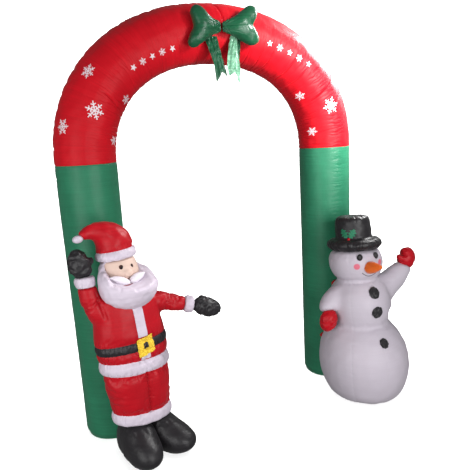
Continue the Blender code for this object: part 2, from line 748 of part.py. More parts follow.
def build_snowman(root):
    place = place_empty("snowman_place", root, SNOWMAN_PLACE, SNOWMAN_TURN)

    def add(name, mesh, look):
        reshape(mesh, snowman_stance)
        piece = add_piece(name, mesh, look, place)
        pieces[name] = piece
        return piece

    waist, neck, brim, brim_top, hat_top = 0.490, 0.768, 0.946, 1.006, 1.146
    belly = add("snowman_belly", turned([
        Row(waist - GAP, 0.160), Row(0.455, 0.188), Row(0.405, 0.226), Row(0.34, 0.256),
        Row(0.275, 0.270), Row(0.21, 0.272), Row(0.15, 0.264), Row(0.09, 0.247),
        Row(0.045, 0.224), Row(0.015, 0.192), Row(0.0, 0.150),
    ], steps=28), "white_cloth")
    cut_clear(belly, legs["right"])
    chest = add("snowman_chest", turned([
        Row(neck, 0.108), Row(0.738, 0.130), Row(0.70, 0.160), Row(0.655, 0.178),
        Row(0.60, 0.183), Row(0.545, 0.174), Row(waist, 0.160),
    ], steps=28), "white_cloth")
    head_mesh = ball((0, 0, 0.870), (0.160, 0.156, 0.155), steps=24, rings=14)
    reshape(head_mesh, lambda co: Vector((co.x, co.y, min(max(co.z, neck + GAP), brim - GAP))))
    head = add("snowman_head", head_mesh, "white_cloth")
    add("snowman_hat_brim", turned(puffed(brim, brim_top - GAP, 0.136, 0.034, rounds=6), steps=28),
        "black_cloth")
    crown_mesh = turned([
        Row(hat_top, 0.070), Row(hat_top - 0.006, 0.092), Row(hat_top - 0.024, 0.101),
        Row(1.08, 0.106), Row(1.04, 0.107), Row(brim_top, 0.105),
    ], steps=28)
    crown = add("snowman_hat_crown", crown_mesh, "black_cloth")

    build_snowman_face(add, head)
    build_snowman_arms(add, belly, chest, head)
    build_snowman_buttons(place, belly, chest)
    build_holly(place, crown)
    build_links(root, belly, chest, pieces["snowman_arm_left"])


def build_snowman_face(add, head):
    nose = add("carrot_nose", tube([
        Bend(0.002, -0.100, 0.848, 0.036), Bend(0.002, -0.158, 0.850, 0.036),
        Bend(0.003, -0.205, 0.856, 0.027), Bend(0.005, -0.245, 0.862, 0.015),
        Bend(0.006, -0.272, 0.866, 0.005),
    ], sides=14, points_each=2), "orange_cloth")
    cut_clear(nose, head)
    for side, sign in (("right", 1), ("left", -1)):
        eye = add(f"snowman_eye_{side}", ball(
            (sign * 0.052, -0.141, 0.912), (0.0165, 0.010, 0.020), 12, 6), "black_cloth")
        cut_clear(eye, head)


def build_snowman_arms(add, belly, chest, head):
    sleeve = add("snowman_arm_left", tube([
        Bend(-0.080, 0.0, 0.700, 0.056), Bend(-0.132, 0.0, 0.680, 0.058),
        Bend(-0.180, -0.002, 0.645, 0.057), Bend(-0.216, -0.012, 0.614, 0.054),
        Bend(-0.224, -0.025, 0.588, 0.051),
    ]), "white_cloth")
    cut_clear(sleeve, chest, belly, head)
    palm = ball((-0.240, -0.040, 0.538), (0.052, 0.045, 0.070), 14, 9,
                Matrix.Rotation(math.radians(24), 3, "Y"))
    thumb = ball((-0.230, -0.078, 0.545), (0.017, 0.017, 0.030), 10, 6,
                 Matrix.Rotation(math.radians(40), 3, "Y"))
    hand = add("snowman_mitten_left", joined(palm, thumb), "red_cloth")
    cut_clear(hand, belly, chest, sleeve)

    sleeve_mesh = tube([
        Bend(0.090, 0.0, 0.630, 0.080), Bend(0.160, 0.0, 0.680, 0.076),
        Bend(0.235, -0.002, 0.722, 0.062), Bend(0.305, -0.004, 0.763, 0.054),
        Bend(0.330, -0.005, 0.785, 0.052), Bend(0.338, -0.006, 0.798, 0.051),
    ])
    sleeve = add("snowman_arm_right", sleeve_mesh, "white_cloth")
    cut_clear(sleeve, chest, belly, head)
    palm = ball((0.359, -0.007, 0.840), (0.058, 0.046, 0.072), 14, 9,
                Matrix.Rotation(math.radians(18), 3, "Y"))
    thumb = ball((0.309, -0.020, 0.846), (0.021, 0.019, 0.034), 10, 6,
                 Matrix.Rotation(math.radians(-35), 3, "Y"))
    hand = add("snowman_mitten_right", joined(palm, thumb), "red_cloth")
    cut_clear(hand, sleeve)


def build_snowman_buttons(place, belly, chest):
    Button = namedtuple("Button", "name x z half_width half_height ground")
    for button in (
        Button("top", -0.030, 0.708, 0.031, 0.035, chest),
        Button("middle", -0.026, 0.596, 0.032, 0.038, chest),
        Button("low", -0.010, 0.415, 0.026, 0.030, belly),
    ):
        disc = bpy.data.meshes.new("disc")
        edit_mesh(disc, lambda bm: bmesh.ops.create_circle(
            bm, cap_ends=True, cap_tris=True, segments=14, radius=1.0))
        name = f"button_{button.name}"
        pieces[name] = lay_flat(name, disc, button, 0.0045, "black_cloth", place)


def lay_flat(name, mesh, spot, thickness, look, place, lift=0.0025):
    """A small flat piece, laid on the front of its ground and given its thickness."""
    bpy.context.view_layer.update()
    ground = spot.ground.evaluated_get(bpy.context.evaluated_depsgraph_get())

    def lay(co):
        x = spot.x + co.x * spot.half_width
        z = spot.z + co.y * spot.half_height
        _, point, _, _ = ground.ray_cast(Vector((x, -1.0, z)), Vector((0, 1, 0)))
        return Vector((x, point.y - lift, z))

    reshape(mesh, lay)
    edit_mesh(mesh, lambda bm: bmesh.ops.recalc_face_normals(bm, faces=bm.faces))
    piece = add_piece(name, mesh, look, place)
    shell = piece.modifiers.new("thickness", "SOLIDIFY")
    shell.thickness = thickness
    shell.offset = 1.0
    return piece


def wrapped(outline, ground, angle, height, reach=0.3):
    """A flat outline wound round an upright piece, each point laid against its surface.

    The outline's points are in metres along the surface and up from the given angle and height.
    """
    bpy.context.view_layer.update()
    solid = ground.evaluated_get(bpy.context.evaluated_depsgraph_get())
    middle = sum((Vector(corner) for corner in solid.bound_box), Vector()) / 8
    mesh = bpy.data.meshes.new("wrapped")

    def flat(bm):
        rim = [bm.verts.new((point.x, point.z, 0.0)) for point in outline]
        bm.faces.new(rim)
        bmesh.ops.poke(bm, faces=bm.faces)

    def lay(co):
        around = angle + co.x / HAT_RADIUS
        out = Vector((math.sin(around), -math.cos(around), 0.0))
        start = Vector((middle.x, middle.y, height + co.y)) + out * reach
        _, point, _, _ = solid.ray_cast(start, -out)
        return point + out * HOLLY_LIFT

    edit_mesh(mesh, flat)
    reshape(mesh, lay)
    edit_mesh(mesh, lambda bm: bmesh.ops.recalc_face_normals(bm, faces=bm.faces))
    return mesh


def leaf_outline(length, half_width, turn):
    """A holly leaf from its stalk: three prickles a side and one at its tip."""
    points = []
    for side in (1, -1):
        for step in range(1, 7):
            t = step / 7
            prickle = 1.0 if step % 2 else 0.55
            points.append((side * half_width * prickle * math.sin(math.pi * t) ** 0.6, length * t))
    right, left = points[:6], points[6:]
    loop = [(0.0, 0.0), *right, (0.0, length), *reversed(left)]
    c, s = math.cos(turn), math.sin(turn)
    return [Outline(x * c + z * s, z * c - x * s) for x, z in loop]


def build_holly(place, crown):
    """Two holly leaves and a berry on the side of the hat crown."""
    angle, height = HOLLY_ANGLE, HOLLY_HEIGHT
    Leaf = namedtuple("Leaf", "name aside turn")
    for leaf in (Leaf("right", 0.005, 0.50), Leaf("left", -0.012, -0.62)):
        leaf_rim = leaf_outline(LEAF_LENGTH, LEAF_HALF_WIDTH, leaf.turn)
        outline = [Outline(point.x + leaf.aside, point.z) for point in leaf_rim]
        mesh = wrapped(outline, crown, angle, height)
        piece = add_piece(f"holly_leaf_{leaf.name}", mesh, "green_cloth", place)
        shell = piece.modifiers.new("thickness", "SOLIDIFY")
        shell.thickness = 0.003
        shell.offset = 1.0
        pieces[f"holly_{leaf.name}"] = piece
    spot = wrapped([Outline(-0.001, -0.011), Outline(0.001, -0.011), Outline(0.0, -0.010)],
                   crown, angle, height).vertices[0].co
    berry = add_piece("holly_berry", ball(spot, (0.009, 0.009, 0.009), 10, 6), "red_cloth", place)
    cut_clear(berry, crown)


def build_links(root, belly, chest, arm):
    """Two short red link sleeves that hold the snowman to the leg behind it."""
    leg = legs["right"]
    Link = namedtuple("Link", "name x z radius")
    for link in (Link("upper", 0.726, 0.670, 0.030), Link("lower", 0.656, 0.308, 0.026)):
        start, end = LINK_DEPTHS[link.name]
        mesh = tube([
            Bend(link.x, start, link.z, link.radius),
            Bend(link.x, (start + end) / 2, link.z, link.radius),
            Bend(link.x, end, link.z, link.radius),
        ], points_each=2)
        piece = add_piece(f"link_{link.name}", mesh, "red_cloth", root)
        cut_clear(piece, leg, belly, chest, arm)


def main():
    root = place_empty("arch_middle", None, -OUTLINE_MIDDLE)
    build_arch(root)
    build_bow(root)
    build_bearded_figure(root)
    build_snowman(root)


clear_scene()
parts = make_collection(COLLECTION)
cutters = make_collection("cutters")
pieces = {}
legs = {}
main()
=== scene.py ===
"""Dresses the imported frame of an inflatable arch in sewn, air-filled cloth.

The arch stands across X, its front faces -Y and its feet are on Z = 0. Sizes are in metres.
"""

import json
import math

import bmesh
import bpy
import numpy as np
from mathutils import Matrix, Vector
from mathutils.bvhtree import BVHTree

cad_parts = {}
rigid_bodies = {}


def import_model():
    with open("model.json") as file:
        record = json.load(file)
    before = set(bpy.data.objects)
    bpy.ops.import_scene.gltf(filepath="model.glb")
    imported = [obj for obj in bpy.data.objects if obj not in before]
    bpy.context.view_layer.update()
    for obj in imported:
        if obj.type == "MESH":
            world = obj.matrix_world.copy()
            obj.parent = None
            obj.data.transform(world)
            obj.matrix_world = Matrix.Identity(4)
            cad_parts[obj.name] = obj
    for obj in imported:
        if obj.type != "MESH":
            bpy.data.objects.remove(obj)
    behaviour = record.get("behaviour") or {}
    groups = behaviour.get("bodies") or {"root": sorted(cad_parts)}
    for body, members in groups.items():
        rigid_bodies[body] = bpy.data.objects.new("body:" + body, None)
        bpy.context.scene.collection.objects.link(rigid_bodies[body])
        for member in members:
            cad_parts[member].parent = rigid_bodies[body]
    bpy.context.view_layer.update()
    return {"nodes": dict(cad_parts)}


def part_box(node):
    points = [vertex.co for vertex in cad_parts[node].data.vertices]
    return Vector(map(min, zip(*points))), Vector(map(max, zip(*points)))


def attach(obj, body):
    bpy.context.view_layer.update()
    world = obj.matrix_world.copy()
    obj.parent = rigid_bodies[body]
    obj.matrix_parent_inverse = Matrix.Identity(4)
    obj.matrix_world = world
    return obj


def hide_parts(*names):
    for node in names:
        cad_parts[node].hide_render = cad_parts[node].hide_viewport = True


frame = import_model()

bl_info = {
    "name": "Inflatable arch",
    "version": (1, 0, 0),
    "blender": (4, 5, 0),
    "location": "View3D > Sidebar > Arch",
    "description": "Sews air-filled cloth round the frame of an inflatable arch",
    "category": "Add Mesh",
}

# The arch's own middle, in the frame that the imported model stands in.
ARCH_MIDDLE = np.array((-0.1056, 0.2511, 0.0))

CROWN_TABLE_STEPS = 4000        # samples of the curve's middle line
FUSE = 0.0008                   # how far copies grow so that neighbours run into one form
SEAM = 1.56                     # length of a green leg
FRAMES = 20                     # simulated frames
CLOTH_MASS = 0.15               # mass of a point of cloth while it is simulated
CLOTH_PULL = 12.0               # how hard the cloth holds against stretch and squeeze
RIPPLE_WAVES = 9                # waves that add up to uneven cloth

# Sides of the tube's section, as turns from its outer side over the front.
OUTER, FRONT, INNER, BACK = 0.0, 0.5 * math.pi, math.pi, 1.5 * math.pi


# ---------------------------------------------------------------- settings

def linear(hex_colour):
    """An sRGB hex colour as linear red, green and blue."""
    channels = [int(hex_colour[i:i + 2], 16) / 255.0 for i in (1, 3, 5)]
    return tuple(
        c / 12.92 if c <= 0.04045 else ((c + 0.055) / 1.055) ** 2.4 for c in channels
    )


def colour_property(name, description, hex_colour):
    return bpy.props.FloatVectorProperty(
        name=name, description=description, default=linear(hex_colour),
        subtype="COLOR", size=3, min=0.0, max=1.0,
    )


def length_property(name, description, default):
    return bpy.props.FloatProperty(
        name=name, description=description, default=default, min=0.0,
        subtype="DISTANCE", unit="LENGTH",
    )


class ARCH_PG_colours(bpy.types.PropertyGroup):
    """Colours of the cloths, prints and foil."""

    red: colour_property("Red", "Woven polyester of the curve", "#CE1120")
    suit: colour_property("Suit", "Woven polyester of the suit, hat and red mittens", "#B80E1D")
    green: colour_property("Green", "Woven polyester of the legs and the bow", "#2E7E5D")
    ribbon: colour_property("Ribbon", "Satin polyester of the bow", "#1B5C3D")
    # Painted highlight: the ribbon's green made much lighter, standing for the light that the
    # right tail catches; the cloth itself is the same satin as the bow.
    painted_light_ribbon: colour_property("Lit ribbon", "Ribbon tail that light shines through", "#80BD9A")
    white: colour_property("White", "Woven polyester of the beard, cuffs and bands", "#D3C8D6")
    bright: colour_property("Bright white", "Satin polyester of the moustache", "#EAE2EC")
    snow: colour_property("Snow", "Thinner white polyester of the snowman", "#C1B9C4")
    black: colour_property("Black", "Woven polyester of boots, belt, hat and mittens", "#262427")
    skin: colour_property("Face", "Cloth of the bearded figure's face", "#DDC2B4")
    yellow: colour_property("Buckle", "Crinkled foil of the buckle", "#F2C21A")
    orange: colour_property("Carrot", "Cloth of the carrot nose", "#F4722A")
    pink: colour_property("Cheeks", "Sprayed colour of the snowman's cheeks", "#D8586F")
    ink: colour_property("Ink", "Printed snowflakes and stars", "#E9DCE2")


class ARCH_PG_sizes(bpy.types.PropertyGroup):
    """Sizes of the tube that the arch is made of."""

    height: length_property("Height", "Floor to the outside of the crown", 2.4)
    radius: length_property("Tube radius", "Radius of the tube", 0.162)
    half_span: length_property("Half span", "Middle of the arch to the middle of a leg", 0.758)
    seam_height: length_property("Seam height", "Where green cloth meets red", 1.56)
    power: bpy.props.FloatProperty(
        name="Curve power", description="2 is an ellipse, more is squarer", default=2.16, min=1.5,
    )


class ARCH_PG_cloth(bpy.types.PropertyGroup):
    """How the cloth is woven, sewn and filled."""

    cell: length_property("Cloth cell", "Cell of the grid that figures are simulated on", 0.0085)
    pressure: bpy.props.FloatProperty(
        name="Air pressure", description="Pressure of the simulated air", default=4.0, min=0.0,
    )
    crease: bpy.props.FloatProperty(
        name="Crease depth", description="Share of full depth of the creases at the seams",
        default=1.0, min=0.0, max=2.0, subtype="FACTOR",
    )


# ---------------------------------------------------------------- mesh helpers

def deselect_all():
    for thing in bpy.context.view_layer.objects:
        thing.select_set(False)


def pick(piece):
    """Makes a piece the only selected and active object."""
    deselect_all()
    piece.select_set(True)
    bpy.context.view_layer.objects.active = piece
    return piece


def read_points(piece):
    points = np.empty(len(piece.data.vertices) * 3)
    piece.data.vertices.foreach_get("co", points)
    return points.reshape(-1, 3)


def write_points(piece, points):
    piece.data.vertices.foreach_set("co", np.ascontiguousarray(points, dtype=np.float32).ravel())
    piece.data.update()


def read_normals(piece):
    normals = np.empty(len(piece.data.vertices) * 3)
    piece.data.vertices.foreach_get("normal", normals)
    return normals.reshape(-1, 3)


def push(piece, distance):
    """Moves each point of a piece out along its normal, by its own distance."""
    write_points(piece, read_points(piece) + read_normals(piece) * distance[:, None])


def apply_all(piece):
    pick(piece)
    for modifier in list(piece.modifiers):
        bpy.ops.object.modifier_apply(modifier=modifier.name)
    return piece


def subdivided(piece):
    modifier = piece.modifiers.new("finer cloth", "SUBSURF")
    modifier.levels = 1
    modifier.render_levels = 1
    return apply_all(piece)


def in_edit_mode(piece, *steps):
    """Runs edit-mode steps on a whole piece."""
    pick(piece)
    bpy.ops.object.mode_set(mode="EDIT")
    bpy.ops.mesh.select_all(action="SELECT")
    for step in steps:
        step()
    bpy.ops.object.mode_set(mode="OBJECT")
    return piece


def smoothed(piece, repeat):
    return in_edit_mode(
        piece, lambda: bpy.ops.mesh.vertices_smooth(factor=0.5, repeat=repeat))


def fused(name, cell, *nodes, rounds=6):
    """One closed form from copies of CAD nodes: grown into each other, remeshed and smoothed."""
    copies = []
    for node in nodes:
        copy = bpy.data.objects.new(name, frame["nodes"][node].data.copy())
        bpy.context.scene.collection.objects.link(copy)
        in_edit_mode(copy, lambda: bpy.ops.mesh.remove_doubles(threshold=0.00002))
        push(copy, np.full(len(copy.data.vertices), FUSE))
        copies.append(copy)
    pick(copies[0])
    for copy in copies:
        copy.select_set(True)
    if len(copies) > 1:
        bpy.ops.object.join()
    piece = bpy.context.view_layer.objects.active
    piece.name = name
    piece.data.name = name
    piece.data.materials.clear()
    modifier = piece.modifiers.new("even grid", "REMESH")
    modifier.mode = "VOXEL"
    modifier.voxel_size = cell
    apply_all(piece)
    return smoothed(piece, rounds)


def sew_down(piece, held):
    """Names the points that seams hold still while the air fills the rest."""
    group = piece.vertex_groups.new(name="sewn")
    group.add([int(i) for i in np.nonzero(held)[0]], 1.0, "REPLACE")


def filled_with_air(pieces, cap, grow):
    """Blows up several pieces at once with Cloth, no point moving further than the cap.

    The cloth is cut a little larger than the form, so it puckers at the seams that hold it.
    """
    scene = bpy.context.scene
    rest = [read_points(piece) for piece in pieces]
    for piece in pieces:
        air = piece.modifiers.new("air", "CLOTH")
        cloth = air.settings
        cloth.quality = 4
        cloth.mass = CLOTH_MASS
        cloth.tension_stiffness = CLOTH_PULL
        cloth.compression_stiffness = CLOTH_PULL
        cloth.shear_stiffness = 3.0
        cloth.bending_stiffness = 0.05
        cloth.air_damping = 2.0
        cloth.use_pressure = True
        cloth.uniform_pressure_force = scene.arch_cloth.pressure
        cloth.effector_weights.gravity = 0.0
        cloth.shrink_min = -grow
        if "sewn" in piece.vertex_groups:
            cloth.vertex_group_mass = "sewn"
        air.collision_settings.use_collision = False
        air.point_cache.frame_start = 1
        air.point_cache.frame_end = FRAMES
    for step in range(1, FRAMES + 1):
        scene.frame_set(step)
    for piece, start in zip(pieces, rest):
        apply_all(piece)
        moved = read_points(piece) - start
        length = np.linalg.norm(moved, axis=1)
        share = np.minimum(1.0, cap / np.maximum(length, 1e-9))
        write_points(piece, start + moved * share[:, None])
        piece.vertex_groups.clear()
    scene.frame_set(1)


def finish_piece(piece, material, slot, *nodes, fill=None, angle=60.0):
    """The last steps of each piece: material, smooth shading, its body and what it stands for."""
    pick(piece)
    piece.data.materials.clear()
    piece.data.materials.append(material)
    bpy.ops.object.shade_smooth_by_angle(angle=math.radians(angle))
    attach(piece, "root")
    if nodes:
        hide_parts(*nodes)
    return piece


# ---------------------------------------------------------------- creases and uneven cloth

def ripple(points, size, seed):
    """Smooth unevenness between about -1 and 1, with lumps of about the given size."""
    dice = np.random.default_rng(seed)
    total = np.zeros(len(points))
    for _ in range(RIPPLE_WAVES):
        way = dice.normal(size=points.shape[1])
        way /= np.linalg.norm(way)
        way *= 2.0 * math.pi / size * dice.uniform(0.6, 1.6)
        total += np.sin(points @ way + dice.uniform(0.0, 2.0 * math.pi))
    return total / math.sqrt(RIPPLE_WAVES) * 0.8


def smoothstep(low, high, value):
    t = np.clip((value - low) / (high - low), 0.0, 1.0)
    return t * t * (3.0 - 2.0 * t)


def creases(along, across, pitch, width, depth, reach, seed, bend=0.5):
    """Narrow valleys that cross a seam, one for each pitch along it.

    Each has a depth, a reach on either side of the seam and a bend of its own.
    """
    first = int(np.floor(along.min() / pitch)) - 3
    count = int(np.ceil(along.max() / pitch)) + 4 - first
    dice = np.random.default_rng(seed).random((count, 7))
    nearest = np.round(along / pitch).astype(int)
    sunk = np.zeros(len(along))
    for step in (-1, 0, 1):
        own = dice[nearest + step - first]
        place = (nearest + step + (own[:, 0] - 0.5) * 0.8) * pitch
        lean = (own[:, 1] - 0.5) * bend * np.abs(across)
        sway = (own[:, 5] - 0.5) * bend * pitch * np.sin(across / reach * 3.0 + own[:, 6] * 6.3)
        side = np.where(across > 0.0, own[:, 2], own[:, 3])
        far = reach * (0.3 + side)
        strength = depth * (0.2 + 0.8 * own[:, 4])
        thin = width * (0.7 + 0.6 * own[:, 5])
        valley = np.exp(-((along - place - lean - sway) / thin) ** 2)
        sunk -= strength * valley * np.exp(-(np.abs(across) / far) ** 3)
    return sunk


def groove(distance, width, depth):
    """A sewn line: the cloth drawn in along it."""
    return -depth * np.exp(-(distance / width) ** 2)


# ---------------------------------------------------------------- the tube's middle line

class MiddleLine:
    """The line inside the tube: up the right leg, over the curve and down the left leg."""

    def __init__(self, sizes):
        self.radius = sizes.radius
        rise = sizes.height - sizes.radius - sizes.seam_height
        angles = np.linspace(0.0, math.pi, CROWN_TABLE_STEPS + 1)
        share = 2.0 / sizes.power
        across = np.cos(angles)
        x = np.copysign(sizes.half_span * np.abs(across) ** share, across)
        z = sizes.seam_height + rise * np.abs(np.sin(angles)) ** share
        self.points = np.stack([x, np.zeros_like(x), z], axis=1)
        steps = np.linalg.norm(np.diff(self.points, axis=0), axis=1)
        self.along = np.concatenate([[0.0], np.cumsum(steps)])
        self.length = float(self.along[-1])

    def at(self, distance):
        """Middle point and outward way; before 0 is the right leg, past the length the left."""
        inside = np.clip(distance, 0.0, self.length)
        middle = np.stack([np.interp(inside, self.along, self.points[:, i]) for i in range(3)], 1)
        ahead = np.clip(inside + 0.004, 0.0, self.length)
        behind = np.clip(inside - 0.004, 0.0, self.length)
        way = np.stack([
            np.interp(ahead, self.along, self.points[:, i])
            - np.interp(behind, self.along, self.points[:, i]) for i in range(3)], 1)
        way[distance <= 0.0] = (0.0, 0.0, 1.0)
        way[distance >= self.length] = (0.0, 0.0, -1.0)
        way /= np.linalg.norm(way, axis=1)[:, None]
        over = np.where(distance < 0.0, distance, np.maximum(distance - self.length, 0.0))
        middle += way * over[:, None]
        outward = np.stack([way[:, 2], np.zeros(len(way)), -way[:, 0]], 1)
        return middle, outward

    def surface(self, distance, turn, radius):
        """Points of the tube in the model's frame, and their way out of the tube."""
        middle, outward = self.at(distance)
        out = outward * np.cos(turn)[:, None]
        out[:, 1] -= np.sin(turn)
        return middle + out * radius[:, None] + ARCH_MIDDLE, out


# Folds of the curve that stand out: distance along it, turn, half length, lean and depth.
LONG_FOLDS = (
    (1.925, 2.05, 0.055, 0.35, 0.007),
    (1.905, 2.45, 0.050, 0.15, 0.005),
    (2.060, 2.55, 0.045, -0.20, 0.004),
    (2.095, 2.75, 0.060, -0.10, 0.004),
    (0.365, 1.70, 0.125, -0.18, 0.010),
    (0.270, 1.35, 0.060, -0.30, 0.006),
    (0.640, 2.35, 0.095, 0.10, 0.008),
    (0.540, 2.30, 0.090, 0.05, 0.007),
    (0.790, 2.45, 0.080, 0.12, 0.006),
    (1.130, 0.95, 0.100, -0.20, 0.007),
)


def tube_relief(line, distance, turn, crease):
    """How far each point of the tube stands out from its round section."""
    radius = line.radius
    left = smoothstep(0.35, 0.65, distance / line.length)
    curved = smoothstep(-0.25, 0.1, distance) * (1.0 - smoothstep(
        line.length - 0.1, line.length + 0.25, distance))
    low_right = (1.0 - smoothstep(0.35, 0.75, distance)) * smoothstep(-0.75, -0.1, distance)

    def from_seam(seam):
        away = (turn - seam + math.pi) % (2.0 * math.pi) - math.pi
        return away * radius

    inner, front, outer, back = (from_seam(s) for s in (INNER, FRONT, OUTER, BACK))
    plane = np.stack([np.cos(turn) * radius, np.sin(turn) * radius, distance * 0.3], 1)
    relief = 0.0016 * ripple(plane, 0.16, 3)
    unrolled = np.stack([turn * radius, distance], 1)
    relief += 0.0010 * ripple(unrolled, 0.09, 4) * (0.4 + 0.6 * curved)

    bunched = 0.30 + 0.70 * curved
    patchy = np.clip(0.55 + 0.75 * ripple(plane, 0.22, 5), 0.08, 1.2)
    in_front = 0.25 * patchy + 0.30 * curved * patchy + 0.95 * low_right
    # Creases across a seam: share, distance from it, pitch, width, depth, reach, seed and bend.
    families = (
        (patchy * bunched, inner, 0.0145, 0.0026, 0.0052, 0.070, 11, 0.25),
        (curved, inner, 0.036, 0.0030, 0.0050, 0.190, 12, 0.30),
        (left * curved, outer, 0.060, 0.0100, 0.0085, 0.060, 13, 0.5),
        (bunched * (1.0 - 0.65 * left), outer, 0.0165, 0.0026, 0.0042, 0.070, 14, 0.4),
        (in_front, front, 0.0165, 0.0026, 0.0040, 0.055, 15, 0.9),
        (bunched, back, 0.0165, 0.0028, 0.0036, 0.060, 16, 0.8),
        (patchy * (0.2 + 0.5 * curved), front, 0.0130, 0.0023, 0.0014, 0.160, 18, 0.3),
    )
    for share, seam, pitch, width, depth, reach, seed, bend in families:
        relief += crease * share * creases(distance, seam, pitch, width, depth, reach, seed, bend)
    for place, at_turn, half, lean, depth in LONG_FOLDS:
        side = (turn - at_turn) * radius
        off = distance - place - lean * side - 0.06 * side * np.sin(side / half * 2.0)
        relief -= crease * depth * np.exp(-(off / 0.0042) ** 2 - (side / half) ** 4)

    for seam in (inner, front, outer, back):
        relief += groove(seam, 0.0022, 0.0012)
    for seam_place in (0.0, line.length):
        to_seam = distance - seam_place
        relief += groove(to_seam, 0.0035, 0.0022)
        relief += 0.7 * crease * creases(
            turn * radius + radius, to_seam, 0.024, 0.0040, 0.0020, 0.030, 17)
    return relief


def rolled_tube(name, line, start, end, columns, rows, crease, foot):
    """A flat grid of cloth, rolled round the middle line from one distance to another."""
    deselect_all()
    bpy.ops.mesh.primitive_grid_add(x_subdivisions=columns, y_subdivisions=rows, size=1.0)
    piece = bpy.context.object
    piece.name = name
    piece.data.name = name
    flat = read_points(piece)
    turn = (flat[:, 0] + 0.5) * 2.0 * math.pi
    distance = start + (flat[:, 1] + 0.5) * (end - start)
    relief = tube_relief(line, distance, turn, crease)
    floor_gap = np.where(distance < 0.0, distance + SEAM, line.length + SEAM - distance)
    floor_gap = np.where((distance > 0.0) & (distance < line.length), 1.0, floor_gap)
    relief -= foot * (1.0 - smoothstep(0.0, 0.035, floor_gap))
    points, _ = line.surface(distance, turn, line.radius + relief)
    points[:, 2] = np.maximum(points[:, 2], 0.0)
    write_points(piece, points)
    girth = 2.0 * math.pi * line.radius
    layer = piece.data.uv_layers.active.data
    spread = np.empty(len(layer) * 2)
    layer.foreach_get("uv", spread)
    spread = spread.reshape(-1, 2) * (girth, end - start) + (0.0, start)
    layer.foreach_set("uv", spread.ravel())

    def close_ends():
        bpy.ops.mesh.remove_doubles(threshold=0.0001)
        bpy.ops.mesh.select_all(action="DESELECT")
        bpy.ops.mesh.select_mode(type="EDGE")
        bpy.ops.mesh.select_non_manifold()
        bpy.ops.mesh.fill_holes(sides=0)
        bpy.ops.mesh.select_mode(type="VERT")
        bpy.ops.mesh.select_all(action="SELECT")
        bpy.ops.mesh.normals_make_consistent(inside=False)

    return in_edit_mode(piece, close_ends)


# ---------------------------------------------------------------- materials

def add_node(tree, kind, inputs=None, **settings):
    """Adds one node, with its settings, its values and what links to it."""
    made = tree.nodes.new(kind)
    for name, value in settings.items():
        setattr(made, name, value)
    for socket, value in (inputs or {}).items():
        if isinstance(value, bpy.types.NodeSocket):
            tree.links.new(value, made.inputs[socket])
        else:
            made.inputs[socket].default_value = value
    return made


def new_material(name):
    material = bpy.data.materials.new(name)
    material.use_nodes = True
    material.node_tree.nodes.clear()
    return material, material.node_tree


def shade_of(colour, share):
    return (*(c * share for c in colour), 1.0)


def woven_polyester(name, colour, dark=0.72, roughness=0.42, crinkle=0.25, gloss=0.22,
                    mapped=False, pattern=None):
    """Thin woven polyester with a clear coating, so it has a soft, slightly streaky sheen."""
    material, tree = new_material(name)
    coordinates = add_node(tree, "ShaderNodeTexCoord")
    place = coordinates.outputs["UV" if mapped else "Object"]
    # Uneven weft threads: streaks about 8 mm apart, 0.3 m long.
    along = (3.0, 120.0, 1.0) if mapped else (3.0, 3.0, 120.0)
    stretched = add_node(tree, "ShaderNodeMapping", {"Vector": place, "Scale": along})
    streaks = add_node(tree, "ShaderNodeTexNoise", {
        "Vector": stretched.outputs["Vector"], "Scale": 1.0, "Detail": 2.0})
    # Patches about 0.15 m wide where the coating is a little thinner.
    patches = add_node(tree, "ShaderNodeTexNoise", {
        "Vector": place, "Scale": 7.0, "Detail": 3.0})
    both = add_node(tree, "ShaderNodeMath", {
        0: streaks.outputs["Fac"], 1: patches.outputs["Fac"]}, operation="MULTIPLY")
    spread = add_node(tree, "ShaderNodeMapRange", {
        "Value": both.outputs[0], "From Min": 0.12, "From Max": 0.42})
    base = add_node(tree, "ShaderNodeMix", {
        "Factor": spread.outputs["Result"], "A": shade_of(colour, dark),
        "B": shade_of(colour, 1.0)}, data_type="RGBA")
    base_colour = base.outputs["Result"]
    if pattern:
        base_colour = pattern(tree, place, base_colour)
    sheen_spread = add_node(tree, "ShaderNodeMapRange", {
        "Value": streaks.outputs["Fac"], "To Min": roughness - 0.05, "To Max": roughness + 0.09})
    # The real threads are 0.3 mm apart, too fine to show, so they are drawn 3 mm apart.
    weft = add_node(tree, "ShaderNodeTexWave", {
        "Vector": place, "Scale": 105.0, "Distortion": 0.6, "Detail": 1.0},
        bands_direction="Y" if mapped else "Z")
    warp = add_node(tree, "ShaderNodeTexWave", {
        "Vector": place, "Scale": 105.0, "Distortion": 0.6, "Detail": 1.0},
        bands_direction="X")
    weave = add_node(tree, "ShaderNodeMath", {
        0: weft.outputs["Fac"], 1: warp.outputs["Fac"]}, operation="MULTIPLY")
    # Small crinkles 10 to 30 mm wide, left from the folded cloth.
    crinkles = add_node(tree, "ShaderNodeTexNoise", {
        "Vector": place, "Scale": 38.0, "Detail": 4.0, "Roughness": 0.55})
    fine = add_node(tree, "ShaderNodeBump", {
        "Height": weave.outputs[0], "Strength": 0.12, "Distance": 0.0006})
    coarse = add_node(tree, "ShaderNodeBump", {
        "Height": crinkles.outputs["Fac"], "Strength": crinkle, "Distance": 0.004,
        "Normal": fine.outputs["Normal"]})
    shader = add_node(tree, "ShaderNodeBsdfPrincipled", {
        "Base Color": base_colour, "Roughness": sheen_spread.outputs["Result"],
        "IOR": 1.5, "Specular IOR Level": gloss, "Sheen Weight": 0.04,
        "Sheen Roughness": 0.4, "Normal": coarse.outputs["Normal"]})
    add_node(tree, "ShaderNodeOutputMaterial", {"Surface": shader.outputs["BSDF"]})
    return material


